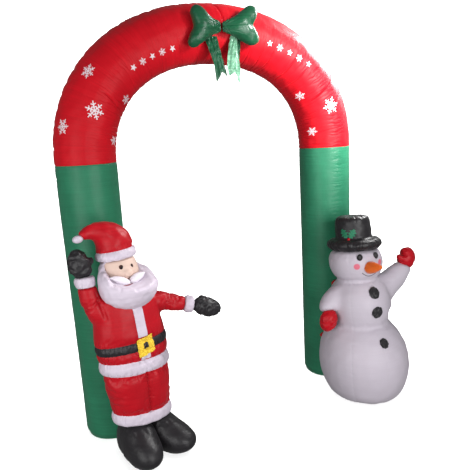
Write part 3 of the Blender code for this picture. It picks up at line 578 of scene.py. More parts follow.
def crinkled_foil(name, colour):
    """Yellow metallised film: bright, with sharp little facets that catch the light."""
    material, tree = new_material(name)
    place = add_node(tree, "ShaderNodeTexCoord").outputs["Object"]
    facets = add_node(tree, "ShaderNodeTexVoronoi", {
        "Vector": place, "Scale": 70.0}, feature="F1")
    tint = add_node(tree, "ShaderNodeMapRange", {
        "Value": facets.outputs["Distance"], "From Max": 0.9})
    base = add_node(tree, "ShaderNodeMix", {
        "Factor": tint.outputs["Result"], "A": shade_of(colour, 1.0),
        "B": (colour[0] * 0.85, colour[1] * 0.62, colour[2] * 0.4, 1.0)}, data_type="RGBA")
    crumple = add_node(tree, "ShaderNodeBump", {
        "Height": facets.outputs["Distance"], "Strength": 0.7, "Distance": 0.004})
    uneven = add_node(tree, "ShaderNodeMapRange", {
        "Value": facets.outputs["Distance"], "To Min": 0.2, "To Max": 0.38})
    shader = add_node(tree, "ShaderNodeBsdfPrincipled", {
        "Base Color": base.outputs["Result"], "Metallic": 0.25,
        "Roughness": uneven.outputs["Result"], "Normal": crumple.outputs["Normal"]})
    add_node(tree, "ShaderNodeOutputMaterial", {"Surface": shader.outputs["BSDF"]})
    return material


def screen_print(name, colour, wear=0.85):
    """Ink printed on cloth: flat and matt, a little thin where the threads stand up."""
    material, tree = new_material(name)
    place = add_node(tree, "ShaderNodeTexCoord").outputs["Object"]
    grain = add_node(tree, "ShaderNodeTexNoise", {
        "Vector": place, "Scale": 260.0, "Detail": 3.0})
    thin = add_node(tree, "ShaderNodeMapRange", {
        "Value": grain.outputs["Fac"], "From Min": 0.3, "From Max": 0.6})
    base = add_node(tree, "ShaderNodeMix", {
        "Factor": thin.outputs["Result"], "A": shade_of(colour, wear),
        "B": shade_of(colour, 1.0)}, data_type="RGBA")
    rough = add_node(tree, "ShaderNodeMapRange", {
        "Value": grain.outputs["Fac"], "To Min": 0.5, "To Max": 0.7})
    relief = add_node(tree, "ShaderNodeBump", {
        "Height": grain.outputs["Fac"], "Strength": 0.2, "Distance": 0.0004})
    shader = add_node(tree, "ShaderNodeBsdfPrincipled", {
        "Base Color": base.outputs["Result"], "Roughness": rough.outputs["Result"],
        "Normal": relief.outputs["Normal"]})
    add_node(tree, "ShaderNodeOutputMaterial", {"Surface": shader.outputs["BSDF"]})
    return material


def finish_of(name):
    """The finish with this name, made the first time that it is asked for."""
    found = bpy.data.materials.get(name)
    if found:
        return found
    colours = bpy.context.scene.arch_colours
    makers = {
        "red_tube_polyester": lambda: woven_polyester(
            name, colours.red, dark=0.8, roughness=0.46, crinkle=0.16, gloss=0.14, mapped=True),
        "green_tube_polyester": lambda: woven_polyester(
            name, colours.green, dark=0.78, roughness=0.42, crinkle=0.14, mapped=True),
        "red_polyester": lambda: woven_polyester(name, colours.suit, dark=0.84),
        "green_polyester": lambda: woven_polyester(name, colours.green),
        "green_satin_polyester": lambda: woven_polyester(
            name, colours.ribbon, dark=0.55, roughness=0.34, crinkle=0.5, gloss=0.32),
        "white_polyester": lambda: woven_polyester(name, colours.white, dark=0.9, crinkle=0.22),
        "white_cheeked_polyester": lambda: woven_polyester(
            name, colours.snow, dark=0.96, crinkle=0.14,
            pattern=soft_rounds(CHEEKS, colours.pink, SNOWMAN)),
        "brown_eye_polyester": lambda: woven_polyester(
            name, linear("#4A2A26"), dark=0.8,
            pattern=soft_rounds(PUPILS, linear("#0C0A0B"), BEARDED, 1.0)),
        # A lit copy of the green satin: its lighter colour is a painted highlight, not a different
        # cloth.
        "painted_light_satin_polyester": lambda: woven_polyester(
            name, colours.painted_light_ribbon, dark=0.45, roughness=0.34, crinkle=0.6, gloss=0.5),
        "black_polyester": lambda: woven_polyester(
            name, colours.black, dark=0.7, roughness=0.42, crinkle=0.45, gloss=0.34),
        "bright_white_polyester": lambda: woven_polyester(
            name, colours.bright, dark=0.93, crinkle=0.2, gloss=0.4),
        "skin_polyester": lambda: woven_polyester(name, colours.skin, dark=0.9, crinkle=0.12),
        "orange_polyester": lambda: woven_polyester(name, colours.orange, dark=0.85),
        "yellow_foil": lambda: crinkled_foil(name, colours.yellow),
        "white_ink": lambda: screen_print(name, colours.ink),
        "black_ink": lambda: screen_print(name, colours.black, 0.7),
        "dark_red_ink": lambda: screen_print(name, linear("#7E1020"), 0.8),
    }
    return makers[name]()


# ---------------------------------------------------------------- pieces cut flat and laid on

def laid(name, width, height, cells, aim, ground, lift, thickness, outline=None, uneven=0.0,
         seed=0):
    """A flat piece of cloth, film or ink, cut to an outline and laid on what is under it.

    outline gives the distance of flat points from the edge, below zero inside. aim turns flat
    points into starts and ways from which they are laid against the ground.
    """
    deselect_all()
    bpy.ops.mesh.primitive_grid_add(x_subdivisions=cells[0], y_subdivisions=cells[1], size=1.0)
    piece = bpy.context.object
    piece.name = name
    piece.data.name = name
    flat = read_points(piece)
    flat[:, 0] *= width
    flat[:, 1] *= height
    write_points(piece, flat)
    if outline:
        cut_out(piece, outline)
        flat = read_points(piece)
    starts, ways = aim(flat[:, 0], flat[:, 1])
    points = np.empty_like(starts)
    for i, (start, way) in enumerate(zip(starts, ways)):
        best = None
        for tree in ground:
            hit, _, _, far = tree.ray_cast(Vector(start), Vector(way))
            if hit is not None and (best is None or far < best):
                best = far
        if best is None:
            raise RuntimeError(f"{name} has nothing under it at {tuple(start)}")
        points[i] = start + way * (best - lift)
    if uneven:
        points -= ways * (uneven * np.abs(ripple(flat[:, :2], 0.035, seed)))[:, None]
    write_points(piece, points)
    facing = read_normals(piece)
    if (facing * ways).sum() > 0.0:
        in_edit_mode(piece, lambda: bpy.ops.mesh.flip_normals())
    shell = piece.modifiers.new("thickness", "SOLIDIFY")
    shell.thickness = thickness
    shell.offset = 1.0
    return apply_all(piece)


def cut_out(piece, outline):
    """Keeps the cells inside an outline and draws their rim on to it."""
    mesh = bmesh.new()
    mesh.from_mesh(piece.data)
    centres = np.array([face.calc_center_median() for face in mesh.faces])
    outside = outline(centres[:, 0], centres[:, 1]) > 0.0
    faces = [face for face, out in zip(mesh.faces, outside) if out]
    bmesh.ops.delete(mesh, geom=faces, context="FACES")
    rim = [vert for vert in mesh.verts if vert.is_boundary]
    spots = np.array([vert.co for vert in rim])[:, :2]
    small = 0.0001
    for _ in range(3):
        x, y = spots[:, 0], spots[:, 1]
        here = outline(x, y)
        slope = np.stack([
            outline(x + small, y) - here, outline(x, y + small) - here], 1) / small
        size = np.maximum((slope ** 2).sum(1), 0.2)
        spots = spots - slope * (here / size)[:, None]
    for vert, spot in zip(rim, spots):
        vert.co.x, vert.co.y = spot
    mesh.to_mesh(piece.data)
    mesh.free()


def tree_of(piece):
    return BVHTree.FromObject(piece, bpy.context.evaluated_depsgraph_get())


def snowflake_outline(radius):
    """Six arms, each with two pairs of side branches, round a small hexagon."""
    bar = radius * 0.062

    def distance(x, y):
        turn = np.arctan2(y, x)
        wedge = (turn + math.pi / 6) % (math.pi / 3) - math.pi / 6
        far = np.hypot(x, y)
        along, across = far * np.cos(wedge), np.abs(far * np.sin(wedge))
        arm = np.maximum(across - bar, along - radius)
        edge = arm
        for start, length in ((0.30, 0.26), (0.58, 0.30)):
            a = along - start * radius
            b = across
            up = (a + b * math.sqrt(3.0)) / 2.0
            off = np.abs(a * math.sqrt(3.0) / 2.0 - b / 2.0)
            branch = np.maximum(off - bar * 0.85, up - length * radius)
            branch = np.maximum(branch, -up)
            edge = np.minimum(edge, branch)
        return np.minimum(edge, far - radius * 0.13)

    return distance


def star_outline(radius):
    """A plain five-pointed star."""

    def distance(x, y):
        turn = np.arctan2(x, y)
        wedge = np.abs((turn + math.pi / 5) % (2 * math.pi / 5) - math.pi / 5)
        far = np.hypot(x, y)
        along, across = far * np.cos(wedge), far * np.sin(wedge)
        inner = 0.42 * radius
        tip = np.array((radius, 0.0))
        corner = np.array((inner * math.cos(math.pi / 5), inner * math.sin(math.pi / 5)))
        side = corner - tip
        normal = np.array((-side[1], side[0])) / np.linalg.norm(side)
        return -((along - tip[0]) * normal[0] + (across - tip[1]) * normal[1])

    return distance


def button_outline(half_width, half_height, seed):
    """A round of black cloth, puckered out of true where it is sewn down."""
    corners = np.random.default_rng(seed).uniform(0.0, 2.0 * math.pi, 3)

    def distance(x, y):
        far = np.hypot(x / half_width, y / half_height)
        turn = np.arctan2(y, x)
        rim = 1.0 + sum(0.020 * np.cos(n * turn + c) for n, c in zip((5, 7, 9), corners))
        return (far - rim) * min(half_width, half_height)

    return distance


# ---------------------------------------------------------------- where the figures stand

class Stance:
    """Where a straight upright figure stands: its lean, its tilted seams, its turn and place."""

    def __init__(self, place, turn, lean, back, back_from, rise, rise_from, rise_to, tilts=()):
        self.place = np.array(place) + ARCH_MIDDLE
        c, s = math.cos(turn), math.sin(turn)
        self.turn = np.array(((c, -s, 0.0), (s, c, 0.0), (0.0, 0.0, 1.0)))
        self.lean, self.back, self.back_from = lean, back, back_from
        self.rise, self.rise_from, self.rise_to = rise, rise_from, rise_to
        self.tilts = tilts

    def bent(self, z):
        """Tilt across, rise towards the back and shift back, at a straight height."""
        tilt = sum((change * smoothstep(low, high, z) for low, high, change in self.tilts),
                   np.zeros_like(z))
        rise = self.rise * smoothstep(self.rise_from, self.rise_to, z)
        return tilt, rise, self.back * np.maximum(z - self.back_from, 0.0)

    def stand(self, points):
        """Straight figure to the model's frame."""
        points = np.atleast_2d(np.asarray(points, float))
        x, y, z = points.T
        tilt, rise, back = self.bent(z)
        bent = np.stack([x - self.lean * z, y + back, z + tilt * x - rise * y], 1)
        return bent @ self.turn.T + self.place

    def straight(self, points):
        """The model's frame to the straight figure."""
        x, y, z = ((points - self.place) @ self.turn).T
        upright = z.copy()
        for _ in range(12):
            tilt, rise, back = self.bent(upright)
            upright = z - tilt * (x + self.lean * upright) + rise * (y - back)
        tilt, rise, back = self.bent(upright)
        return np.stack([x + self.lean * upright, y - back, upright], 1)

    def front_aim(self, x, z):
        """Starts and ways for laying a piece on the figure's front, by leaned place and height."""
        starts = np.stack([x, np.full(len(x), -1.0), z], 1) @ self.turn.T + self.place
        ways = np.tile(self.turn @ np.array((0.0, 1.0, 0.0)), (len(x), 1))
        return starts, ways


BEARDED = Stance(
    (-0.635, -0.327, 0.0), math.radians(19.0), 0.052, 0.05, 0.5, 0.10, 0.42, 0.62,
    tilts=((0.05, 0.20, -0.12), (0.30, 0.50, 0.03), (0.55, 0.65, 0.07), (1.04, 1.12, 0.08)),
)
SNOWMAN = Stance((0.7837, -0.395, 0.0), math.radians(-6.0), 0.058, 0.05, 0.3, 0.10, 0.5, 0.9)

# Heights of the bearded figure's seams on the straight figure.
ANKLE, CUFF_TOP = 0.205, 0.272
HEM, HEM_TOP = 0.500, 0.567
BELT, BELT_TOP = 0.619, 0.667
BAND, BAND_TOP = 1.094, 1.142
WRIST = 0.984
# Heights of the snowman's seams.
WAIST, NECK, BRIM, BRIM_TOP = 0.490, 0.768, 0.946, 1.006
SNOWMAN_CELL = 1.3      # its smooth cloth takes a coarser grid than the suit

SLEEVE_START = np.array((0.10, -0.005, 0.850))
SLEEVE_WAY = np.array((0.90, -0.42, -0.29)) / np.linalg.norm((0.90, -0.42, -0.29))
SLEEVE_LENGTH = 0.226
SLEEVE_SEAM = 0.142     # where the sleeve narrows, measured along it


def turn_and_girth(straight, depth=1.0):
    """Angle round the figure's axis from its front, and the distance round it in metres."""
    x, y = straight[:, 0], straight[:, 1] / depth
    angle = np.arctan2(x, -y)
    return angle, np.hypot(x, y)


def soft_rounds(rounds, colour, stance, strength=0.85):
    """A pattern of soft round patches of a colour: middles on the straight figure and radii."""

    def pattern(tree, place, base_colour):
        for centre, radius in rounds:
            spot = stance.stand(centre)[0]
            away = add_node(tree, "ShaderNodeVectorMath", {0: place, 1: tuple(spot)},
                            operation="DISTANCE")
            fade = add_node(tree, "ShaderNodeMapRange", {
                "Value": away.outputs["Value"], "From Min": radius * 0.72, "From Max": radius,
                "To Min": strength, "To Max": 0.0}, interpolation_type="SMOOTHSTEP")
            mixed = add_node(tree, "ShaderNodeMix", {
                "Factor": fade.outputs["Result"], "A": base_colour,
                "B": (*colour, 1.0)}, data_type="RGBA")
            base_colour = mixed.outputs["Result"]
        return base_colour

    return pattern


# Middles of the snowman's cheeks on the straight figure, and how far they reach.
CHEEKS = (((-0.078, -0.143, 0.860), 0.022), ((0.080, -0.136, 0.869), 0.022))
# The same for the bearded figure's pupils.
PUPILS = (((-0.032, -0.092, 1.058), 0.0085), ((0.021, -0.092, 1.054), 0.0085))


def split_at(piece, planes):
    """Cuts edges into a form along planes, each a point and a normal, across the whole form."""

    def cut():
        for middle, normal in planes:
            bpy.ops.mesh.select_all(action="SELECT")
            bpy.ops.mesh.bisect(plane_co=tuple(middle), plane_no=tuple(normal))

    return in_edit_mode(piece, cut)


def seam_plane(stance, height):
    """The plane of a level seam of the straight figure, where it stands."""
    middle, across, behind = stance.stand(((0, 0, height), (0.1, 0, height), (0, 0.1, height)))
    normal = np.cross(across - middle, behind - middle)
    return middle, normal / np.linalg.norm(normal)


def parted(piece, belongs):
    """Parts a form into pieces: belongs gives each face centre's piece number, from 0."""
    centres = np.empty(len(piece.data.polygons) * 3)
    piece.data.polygons.foreach_get("center", centres)
    number = belongs(centres.reshape(-1, 3))
    parts = []
    for wanted in range(int(number.max()) + 1):
        part = piece.copy()
        part.data = piece.data.copy()
        bpy.context.scene.collection.objects.link(part)
        mesh = bmesh.new()
        mesh.from_mesh(part.data)
        faces = [face for face, n in zip(mesh.faces, number) if n != wanted]
        bmesh.ops.delete(mesh, geom=faces, context="FACES")
        rim = [edge for edge in mesh.edges if edge.is_boundary]
        bmesh.ops.holes_fill(mesh, edges=rim)
        bmesh.ops.recalc_face_normals(mesh, faces=mesh.faces)
        mesh.to_mesh(part.data)
        mesh.free()
        parts.append(part)
    bpy.data.objects.remove(piece)
    return parts


# ---------------------------------------------------------------- operators

class ARCH_OT_tube(bpy.types.Operator):
    """Roll the red curve and the two green legs from flat cloth, creased at their seams"""

    bl_idname = "arch.tube"
    bl_label = "Arch tube"

    def execute(self, context):
        sizes = context.scene.arch_sizes
        crease = context.scene.arch_cloth.crease
        line = MiddleLine(sizes)
        made = (
            ("red_curve", 0.0, line.length, 84, 800, 0.0, "red"),
            ("green_leg_right", -SEAM, 0.0, 66, 380, 0.012, "green"),
            ("green_leg_left", line.length, line.length + SEAM, 66, 380, 0.012, "green"),
        )
        for node, start, end, columns, rows, foot, colour in made:
            piece = rolled_tube(
                node + "_cloth", line, start, end, columns, rows, crease, foot)
            finish_piece(piece, finish_of(colour + "_tube_polyester"), colour + "_cloth", node,
                         fill=0.9)
        return {"FINISHED"}


# Prints on the curve: kind, distance along it, turn in degrees, radius and spin in degrees.
PRINTS = (
    ("snowflake", 2.015, 91.1, 0.048, 0.0), ("snowflake", 1.861, 51.8, 0.035, 10.0),
    ("snowflake", 2.120, 38.4, 0.036, -8.0), ("snowflake", 1.864, 143.8, 0.034, 14.0),
    ("snowflake", 2.152, 146.9, 0.034, 5.0), ("snowflake", 0.423, 145.2, 0.036, 0.0),
    ("snowflake", 0.262, 92.2, 0.052, 4.0), ("snowflake", 0.126, 147.4, 0.036, 12.0),
    ("star", 1.700, 109.0, 0.020, 0.0), ("snowflake", 1.635, 111.0, 0.022, 15.0),
    ("star", 1.570, 112.5, 0.020, 6.0), ("snowflake", 1.505, 113.5, 0.022, 0.0),
    ("star", 1.440, 114.5, 0.020, -6.0),
    ("star", 0.830, 99.0, 0.020, 0.0), ("snowflake", 0.760, 98.0, 0.022, 15.0),
    ("star", 0.690, 96.0, 0.020, 6.0), ("snowflake", 0.620, 93.0, 0.022, 0.0),
    ("star", 0.550, 88.0, 0.020, -6.0),
)


class ARCH_OT_prints(bpy.types.Operator):
    """Print snowflakes and small stars on the front of the red curve"""

    bl_idname = "arch.prints"
    bl_label = "Snowflakes and stars"

    def execute(self, context):
        line = MiddleLine(context.scene.arch_sizes)
        ground = [tree_of(bpy.data.objects["red_curve_cloth"])]
        for number, (kind, place, turn, radius, spin) in enumerate(PRINTS, 1):
            c, s = math.cos(math.radians(spin)), math.sin(math.radians(spin))

            def aim(x, y, place=place, turn=math.radians(turn), c=c, s=s):
                across, up = x * c - y * s, x * s + y * c
                turns = turn + across / line.radius
                starts, out = line.surface(
                    place + up, turns, np.full(len(x), line.radius + 0.05))
                return starts, -out

            shape = snowflake_outline(radius) if kind == "snowflake" else star_outline(radius)
            cells = int(2.1 * radius / 0.0018)
            piece = laid(f"{kind}_print_{number}", 2.1 * radius, 2.1 * radius, (cells, cells),
                         aim, ground, 0.0002, 0.0004, outline=shape)
            finish_piece(piece, finish_of("white_ink"), "white_cloth")
        return {"FINISHED"}


class ARCH_OT_bow(bpy.types.Operator):
    """Fill the two loops of the bow and hang its ribbon tails"""

    bl_idname = "arch.bow"
    bl_label = "Bow"

    def execute(self, context):
        pinch = np.array((-0.010, -0.209, 2.238)) + ARCH_MIDDLE
        loops = []
        for side in ("left", "right"):
            node = f"bow_loop_{side}"
            loop = fused(node + "_cloth", 0.005, node, rounds=4)
            away = np.abs(read_points(loop)[:, 0] - pinch[0])
            sew_down(loop, away < 0.02)
            loops.append((loop, node))
        filled_with_air([loop for loop, _ in loops], cap=0.008, grow=0.04)
        for number, (loop, node) in enumerate(loops):
            subdivided(loop)
            spot = read_points(loop) - pinch
            far = np.hypot(spot[:, 0], spot[:, 2])
            fan = np.arctan2(spot[:, 2], np.abs(spot[:, 0]))
            near = np.exp(-(far / 0.085) ** 2)
            gather = near * creases(fan * 0.1, far, 0.0125, 0.003, 0.006, 0.3, 31 + number, 0.2)
            soft = 0.0022 * ripple(spot, 0.07, 33 + number)
            push(loop, gather + soft * smoothstep(0.0, 0.06, far))
            finish_piece(loop, finish_of("green_satin_polyester"), "green_cloth", node,
                         fill=0.8)
        for tail in TAILS:
            hang_tail(tail, pinch)
        return {"FINISHED"}


# Ribbon tails, from behind the loops down: rows of middle, height, depth and half width.
TAILS = (
    ("left", ((-0.050, -0.045, 0.034, 0.035), (-0.047, -0.068, 0.030, 0.035),
              (-0.036, -0.123, 0.020, 0.032), (-0.019, -0.176, 0.014, 0.030),
              (-0.009, -0.228, 0.012, 0.035)), (0.066, 0.004, 0.028), 41),
    ("right", ((0.084, -0.040, 0.030, 0.022), (0.078, -0.065, 0.026, 0.023),
               (0.064, -0.123, 0.012, 0.029), (0.057, -0.186, -0.002, 0.038),
               (0.057, -0.228, -0.006, 0.028)), (0.028, 0.004, 0.066), 42),
    ("folded", ((0.106, -0.040, 0.044, 0.022), (0.105, -0.065, 0.042, 0.020),
                (0.103, -0.110, 0.034, 0.014), (0.104, -0.160, 0.026, 0.003)),
     (0.0, 0.003, 0.0), 43),
)


def hang_tail(tail, pinch):
    """A thin ribbon, pleated lengthwise and cut to a swallow tail."""
    name, rows, (left_tip, notch, right_tip), seed = tail
    deselect_all()
    bpy.ops.mesh.primitive_grid_add(x_subdivisions=28, y_subdivisions=80, size=1.0)
    piece = bpy.context.object
    piece.name = f"bow_tail_{name}_cloth"
    flat = read_points(piece)
    across, down = flat[:, 0] * 2.0, 0.5 - flat[:, 1]
    table = np.array(rows)
    at = np.linspace(0.0, 1.0, len(rows))
    middle, height, depth, half = (smooth_between(down, at, table[:, i]) for i in range(4))
    tip = np.where(across < 0.0, left_tip, right_tip)
    end = notch + (tip - notch) * np.abs(across)
    drop = end * smoothstep(0.5, 1.0, down)
    crease = -0.010 * (1.0 - np.abs(across))
    pleats = 0.0036 * np.sin(across * 9.0 + 2.0 * np.sin(down * 4.0 + seed))
    pleats += 0.0030 * ripple(np.stack([across * 0.05, down * 0.14], 1), 0.026, seed)
    folds = (crease + pleats) * np.minimum(half / 0.030, 1.0)
    x = middle + across * half
    points = np.stack([x, depth + folds, height - drop], 1) + pinch
    write_points(piece, points)
    facing = read_normals(piece)
    if facing[:, 1].sum() > 0.0:
        in_edit_mode(piece, lambda: bpy.ops.mesh.flip_normals())
    shell = piece.modifiers.new("thickness", "SOLIDIFY")
    shell.thickness = 0.0008
    shell.offset = 0.0
    apply_all(piece)
    # The right tail takes the lighter finish, a painted highlight; the other tails are the same
    # ribbon without it.
    finish = "painted_light_satin_polyester" if name == "right" else "green_satin_polyester"
    finish_piece(piece, finish_of(finish), "green_cloth", f"bow_tail_{name}")


def smooth_between(where, at, values):
    """Values read smoothly (Catmull-Rom) between rows at even places."""
    count = len(at) - 1
    place = np.clip(where, 0.0, 1.0) * count
    index = np.clip(np.floor(place).astype(int), 0, count - 1)
    t = place - index
    padded = np.concatenate([values[:1], values, values[-1:]])
    p, q, r, s = (padded[index + i] for i in range(4))
    return 0.5 * (2 * q + (r - p) * t + (2 * p - 5 * q + 4 * r - s) * t ** 2
                  + (3 * q - p - 3 * r + s) * t ** 3)


class ARCH_OT_bearded_body(bpy.types.Operator):
    """Fill the bearded figure's suit and part it at its seams"""

    bl_idname = "arch.bearded_body"
    bl_label = "Suit, belt and bands"

    def execute(self, context):
        cell = context.scene.arch_cloth.cell
        nodes = ("ankle_band", "trousers", "jacket_hem", "jacket_skirt", "belt", "jacket_chest",
                 "sleeve_raised", "sleeve_outstretched")
        suit = fused("suit", cell, *nodes)
        levels = (ANKLE, CUFF_TOP, HEM, HEM_TOP, BELT, BELT_TOP)
        straight = BEARDED.straight(read_points(suit))
        height = straight[:, 2]
        out = (straight - SLEEVE_START) @ SLEEVE_WAY
        held = (height < ANKLE + 0.012) | (height > 0.935) | (out > SLEEVE_LENGTH - 0.012)
        held |= (height > WRIST - 0.012) & (straight[:, 0] < -0.12)
        for level in levels[1:]:
            held |= np.abs(height - level) < 0.6 * cell
        sew_down(suit, held)
        filled_with_air([suit], cap=0.009, grow=0.035)
        subdivided(suit)
        straight = BEARDED.straight(read_points(suit))
        height = straight[:, 2]
        angle, _ = turn_and_girth(straight, 0.63)
        around = angle * 0.17
        relief = 0.0012 * ripple(straight, 0.08, 51)
        for number, level in enumerate(levels[1:]):
            relief += groove(height - level, 0.004, 0.0028)
            relief += creases(around, height - level, 0.021, 0.0046, 0.0048, 0.034, 52 + number)
        out = (straight - SLEEVE_START) @ SLEEVE_WAY
        off_axis = straight - SLEEVE_START - out[:, None] * SLEEVE_WAY
        sleeve = (np.linalg.norm(off_axis, axis=1) < 0.075) & (out > 0.11)
        about = np.arctan2(off_axis[:, 2], off_axis[:, 1]) * 0.05
        seam = groove(out - SLEEVE_SEAM, 0.004, 0.0030)
        seam += creases(about, out - SLEEVE_SEAM, 0.016, 0.0030, 0.0030, 0.030, 61)
        relief += np.where(sleeve, seam, 0.0)
        armpit = straight[:, 0] + 0.155 + 0.06 * (height - 0.89)
        chest = smoothstep(0.79, 0.83, height) * (1.0 - smoothstep(0.95, 0.985, height))
        relief -= np.where(straight[:, 1] < 0.02, 0.010 * chest * np.exp(
            -(armpit / 0.0075) ** 2), 0.0)
        gap = straight[:, 0]
        leg_part = (height > CUFF_TOP) & (height < HEM)
        relief -= np.where(leg_part, 0.009 * np.exp(-(gap / 0.007) ** 2), 0.0)
        relief += np.where(leg_part, creases(
            height, gap, 0.030, 0.005, 0.003, 0.035, 60), 0.0)
        push(suit, relief)
        split_at(suit, [seam_plane(BEARDED, level) for level in levels[1:]])

        def layer(centres):
            upright = BEARDED.straight(centres)[:, 2]
            return np.searchsorted(np.array(levels[1:]), upright)

        parts = parted(suit, layer)
        looks = (
            ("ankle_band", "white", ("ankle_band",)), ("trousers", "red", ("trousers",)),
            ("jacket_hem", "white", ("jacket_hem",)), ("jacket_skirt", "red", ("jacket_skirt",)),
            ("belt", "black", ("belt",)),
            ("jacket", "red", ("jacket_chest", "sleeve_raised", "sleeve_outstretched")),
        )
        for part, (name, colour, stands_for) in zip(parts, looks):
            part.name = name + "_cloth"
            part.data.name = part.name
            finish_piece(part, finish_of(colour + "_polyester"), colour + "_cloth", *stands_for,
                         fill=0.85)
        return {"FINISHED"}


class ARCH_OT_bearded_limbs(bpy.types.Operator):
    """Fill the boots, cuffs and mittens of the bearded figure"""

    bl_idname = "arch.bearded_limbs"
    bl_label = "Boots, cuffs and mittens"

    def execute(self, context):
        made = (
            ("boot_left", "black", 0.010, 0.010, 0.0012),
            ("boot_right", "black", 0.010, 0.010, 0.0012),
            ("cuff_raised", "white", 0.005, 0.005, 0.001),
            ("cuff_outstretched", "white", 0.005, 0.005, 0.001),
            ("mitten_raised", "black", 0.0055, 0.006, 0.0055),
            ("mitten_outstretched", "black", 0.0055, 0.006, 0.0055),
        )
        pieces = []
        for name, colour, cell, cap, lumps in made:
            piece = fused(name + "_cloth", cell, name, rounds=3)
            points = read_points(piece)
            straight = BEARDED.straight(points)
            if "boot" in name:
                sew_down(piece, (points[:, 2] < 0.006) | (straight[:, 2] > ANKLE - 0.012))
            elif name == "cuff_raised":
                sew_down(piece, np.abs(straight[:, 2] - WRIST - 0.026) > 0.021)
            elif name == "cuff_outstretched":
                out = (straight - SLEEVE_START) @ SLEEVE_WAY
                sew_down(piece, np.abs(out - SLEEVE_LENGTH - 0.024) > 0.019)
            elif name == "mitten_raised":
                sew_down(piece, straight[:, 2] < WRIST + 0.060)
            else:
                sew_down(piece, (straight - SLEEVE_START) @ SLEEVE_WAY < SLEEVE_LENGTH + 0.056)
            pieces.append((piece, name, colour, cap, lumps))
        filled_with_air([entry[0] for entry in pieces], cap=0.007, grow=0.05)
        for number, (piece, name, colour, cap, lumps) in enumerate(pieces):
            subdivided(piece)
            points = read_points(piece)
            lump_size = 0.12 if "boot" in name else 0.045
            relief = lumps * -np.abs(ripple(points, lump_size, 70 + number)) + 0.4 * lumps
            relief = np.where(points[:, 2] < 0.004, 0.0, relief)
            push(piece, relief)
            points = read_points(piece)
            points[:, 2] = np.maximum(points[:, 2], 0.0)
            write_points(piece, points)
            finish_piece(piece, finish_of(colour + "_polyester"), colour + "_cloth", name,
                         fill=0.8)
        return {"FINISHED"}


class ARCH_OT_bearded_head(bpy.types.Operator):
    """Fill the face, beard, moustache and hat of the bearded figure"""

    bl_idname = "arch.bearded_head"
    bl_label = "Face, beard and hat"

    def execute(self, context):
        face = fused("face_cloth", 0.0055, "bearded_head", "nose", rounds=3)
        beard = fused("beard_cloth", 0.006, "beard", rounds=2)
        shape_beard(beard)
        moustaches = [
            (fused(f"moustache_{side}_cloth", 0.0035, f"moustache_{side}", rounds=2), side)
            for side in ("left", "right")]
        hat = fused("hat_form", 0.0062, "hat", "hat_band", rounds=4)
        pompom = fused("pompom_cloth", 0.003, "pompom", rounds=3)
        for piece, level in ((beard, BAND - 0.012), (hat, None), (pompom, None)):
            straight = BEARDED.straight(read_points(piece))
            held = straight[:, 2] > level if level else np.zeros(len(straight), bool)
            if piece is hat:
                held = np.abs(straight[:, 2] - BAND_TOP) < 0.004
                held |= straight[:, 2] < BAND + 0.008
            sew_down(piece, held)
        filled_with_air([beard, hat, pompom], cap=0.0035, grow=0.03)
        for piece in (beard, hat, pompom, face):
            subdivided(piece)
        for piece, side in moustaches:
            subdivided(piece)
            shape_moustache(piece, side)
            finish_piece(piece, finish_of("bright_white_polyester"), "white_cloth",
                         f"moustache_{side}", fill=0.8)
        straight = BEARDED.straight(read_points(beard))
        push(beard, 0.0012 * ripple(straight, 0.05, 81))
        straight = BEARDED.straight(read_points(hat))
        height = straight[:, 2]
        angle, _ = turn_and_girth(straight)
        relief = groove(height - BAND_TOP, 0.0035, 0.0028)
        relief += 0.0022 * ripple(straight, 0.06, 82)
        for number, level in enumerate((BAND, BAND_TOP)):
            relief += creases(angle * 0.095, height - level, 0.016, 0.0032, 0.0022, 0.020,
                              83 + number)
        push(hat, relief)
        split_at(hat, [seam_plane(BEARDED, BAND_TOP)])
        band, crown = parted(
            hat, lambda centres: (BEARDED.straight(centres)[:, 2] > BAND_TOP).astype(int))
        band.name, crown.name = "hat_band_cloth", "hat_cloth"
        finish_piece(band, finish_of("white_polyester"), "white_cloth", "hat_band", fill=0.8)
        finish_piece(crown, finish_of("red_polyester"), "red_cloth", "hat", fill=0.8)
        finish_piece(pompom, finish_of("white_polyester"), "white_cloth", "pompom", fill=0.8)
        finish_piece(beard, finish_of("white_polyester"), "white_cloth", "beard", fill=0.9)
        finish_piece(face, finish_of("skin_polyester"), "skin_cloth", "bearded_head", "nose",
                     fill=0.9)
        return {"FINISHED"}


def shape_beard(beard):
    """Rounds the beard's upper edge over towards the face, and fills it beside the left cheek."""
    straight = BEARDED.straight(read_points(beard))
    x, y, z = straight.T
    angle = np.degrees(np.arctan2(x, -y))
    far = np.hypot(x / 0.153, (y + 0.078) / 0.113)
    front = smoothstep(-50.0, -40.0, angle) * (1.0 - smoothstep(25.0, 50.0, angle))
    cheek = smoothstep(28.0, 60.0, angle) * (1.0 - smoothstep(85.0, 110.0, angle))
    drop = 0.017 * front * smoothstep(0.45, 1.0, far)
    fill = 0.034 * cheek * np.maximum(1.0 - far ** 2, 0.0)
    straight[:, 2] += (fill - drop) * smoothstep(0.90, 0.97, z)
    write_points(beard, BEARDED.stand(straight))
    smoothed(beard, 5)


def shape_moustache(piece, side):
    """Draws one half of the moustache out to a point that turns up."""
    way = 1.0 if side == "right" else -1.0
    straight = BEARDED.straight(read_points(piece))
    out = way * (straight[:, 0] + 0.012)
    share = out / out.max()
    for axis, part in ((1, 0.6), (2, 1.0)):
        core = np.polyval(np.polyfit(share, straight[:, axis], 2), share)
        girth = 1.28 - 0.25 * share - 0.62 * share ** 4
        straight[:, axis] = core + (straight[:, axis] - core) * (1.0 + part * (girth - 1.0))
    straight[:, 0] += way * 0.005 * share ** 3
    straight[:, 2] += 0.004 * share ** 3
    write_points(piece, BEARDED.stand(straight))


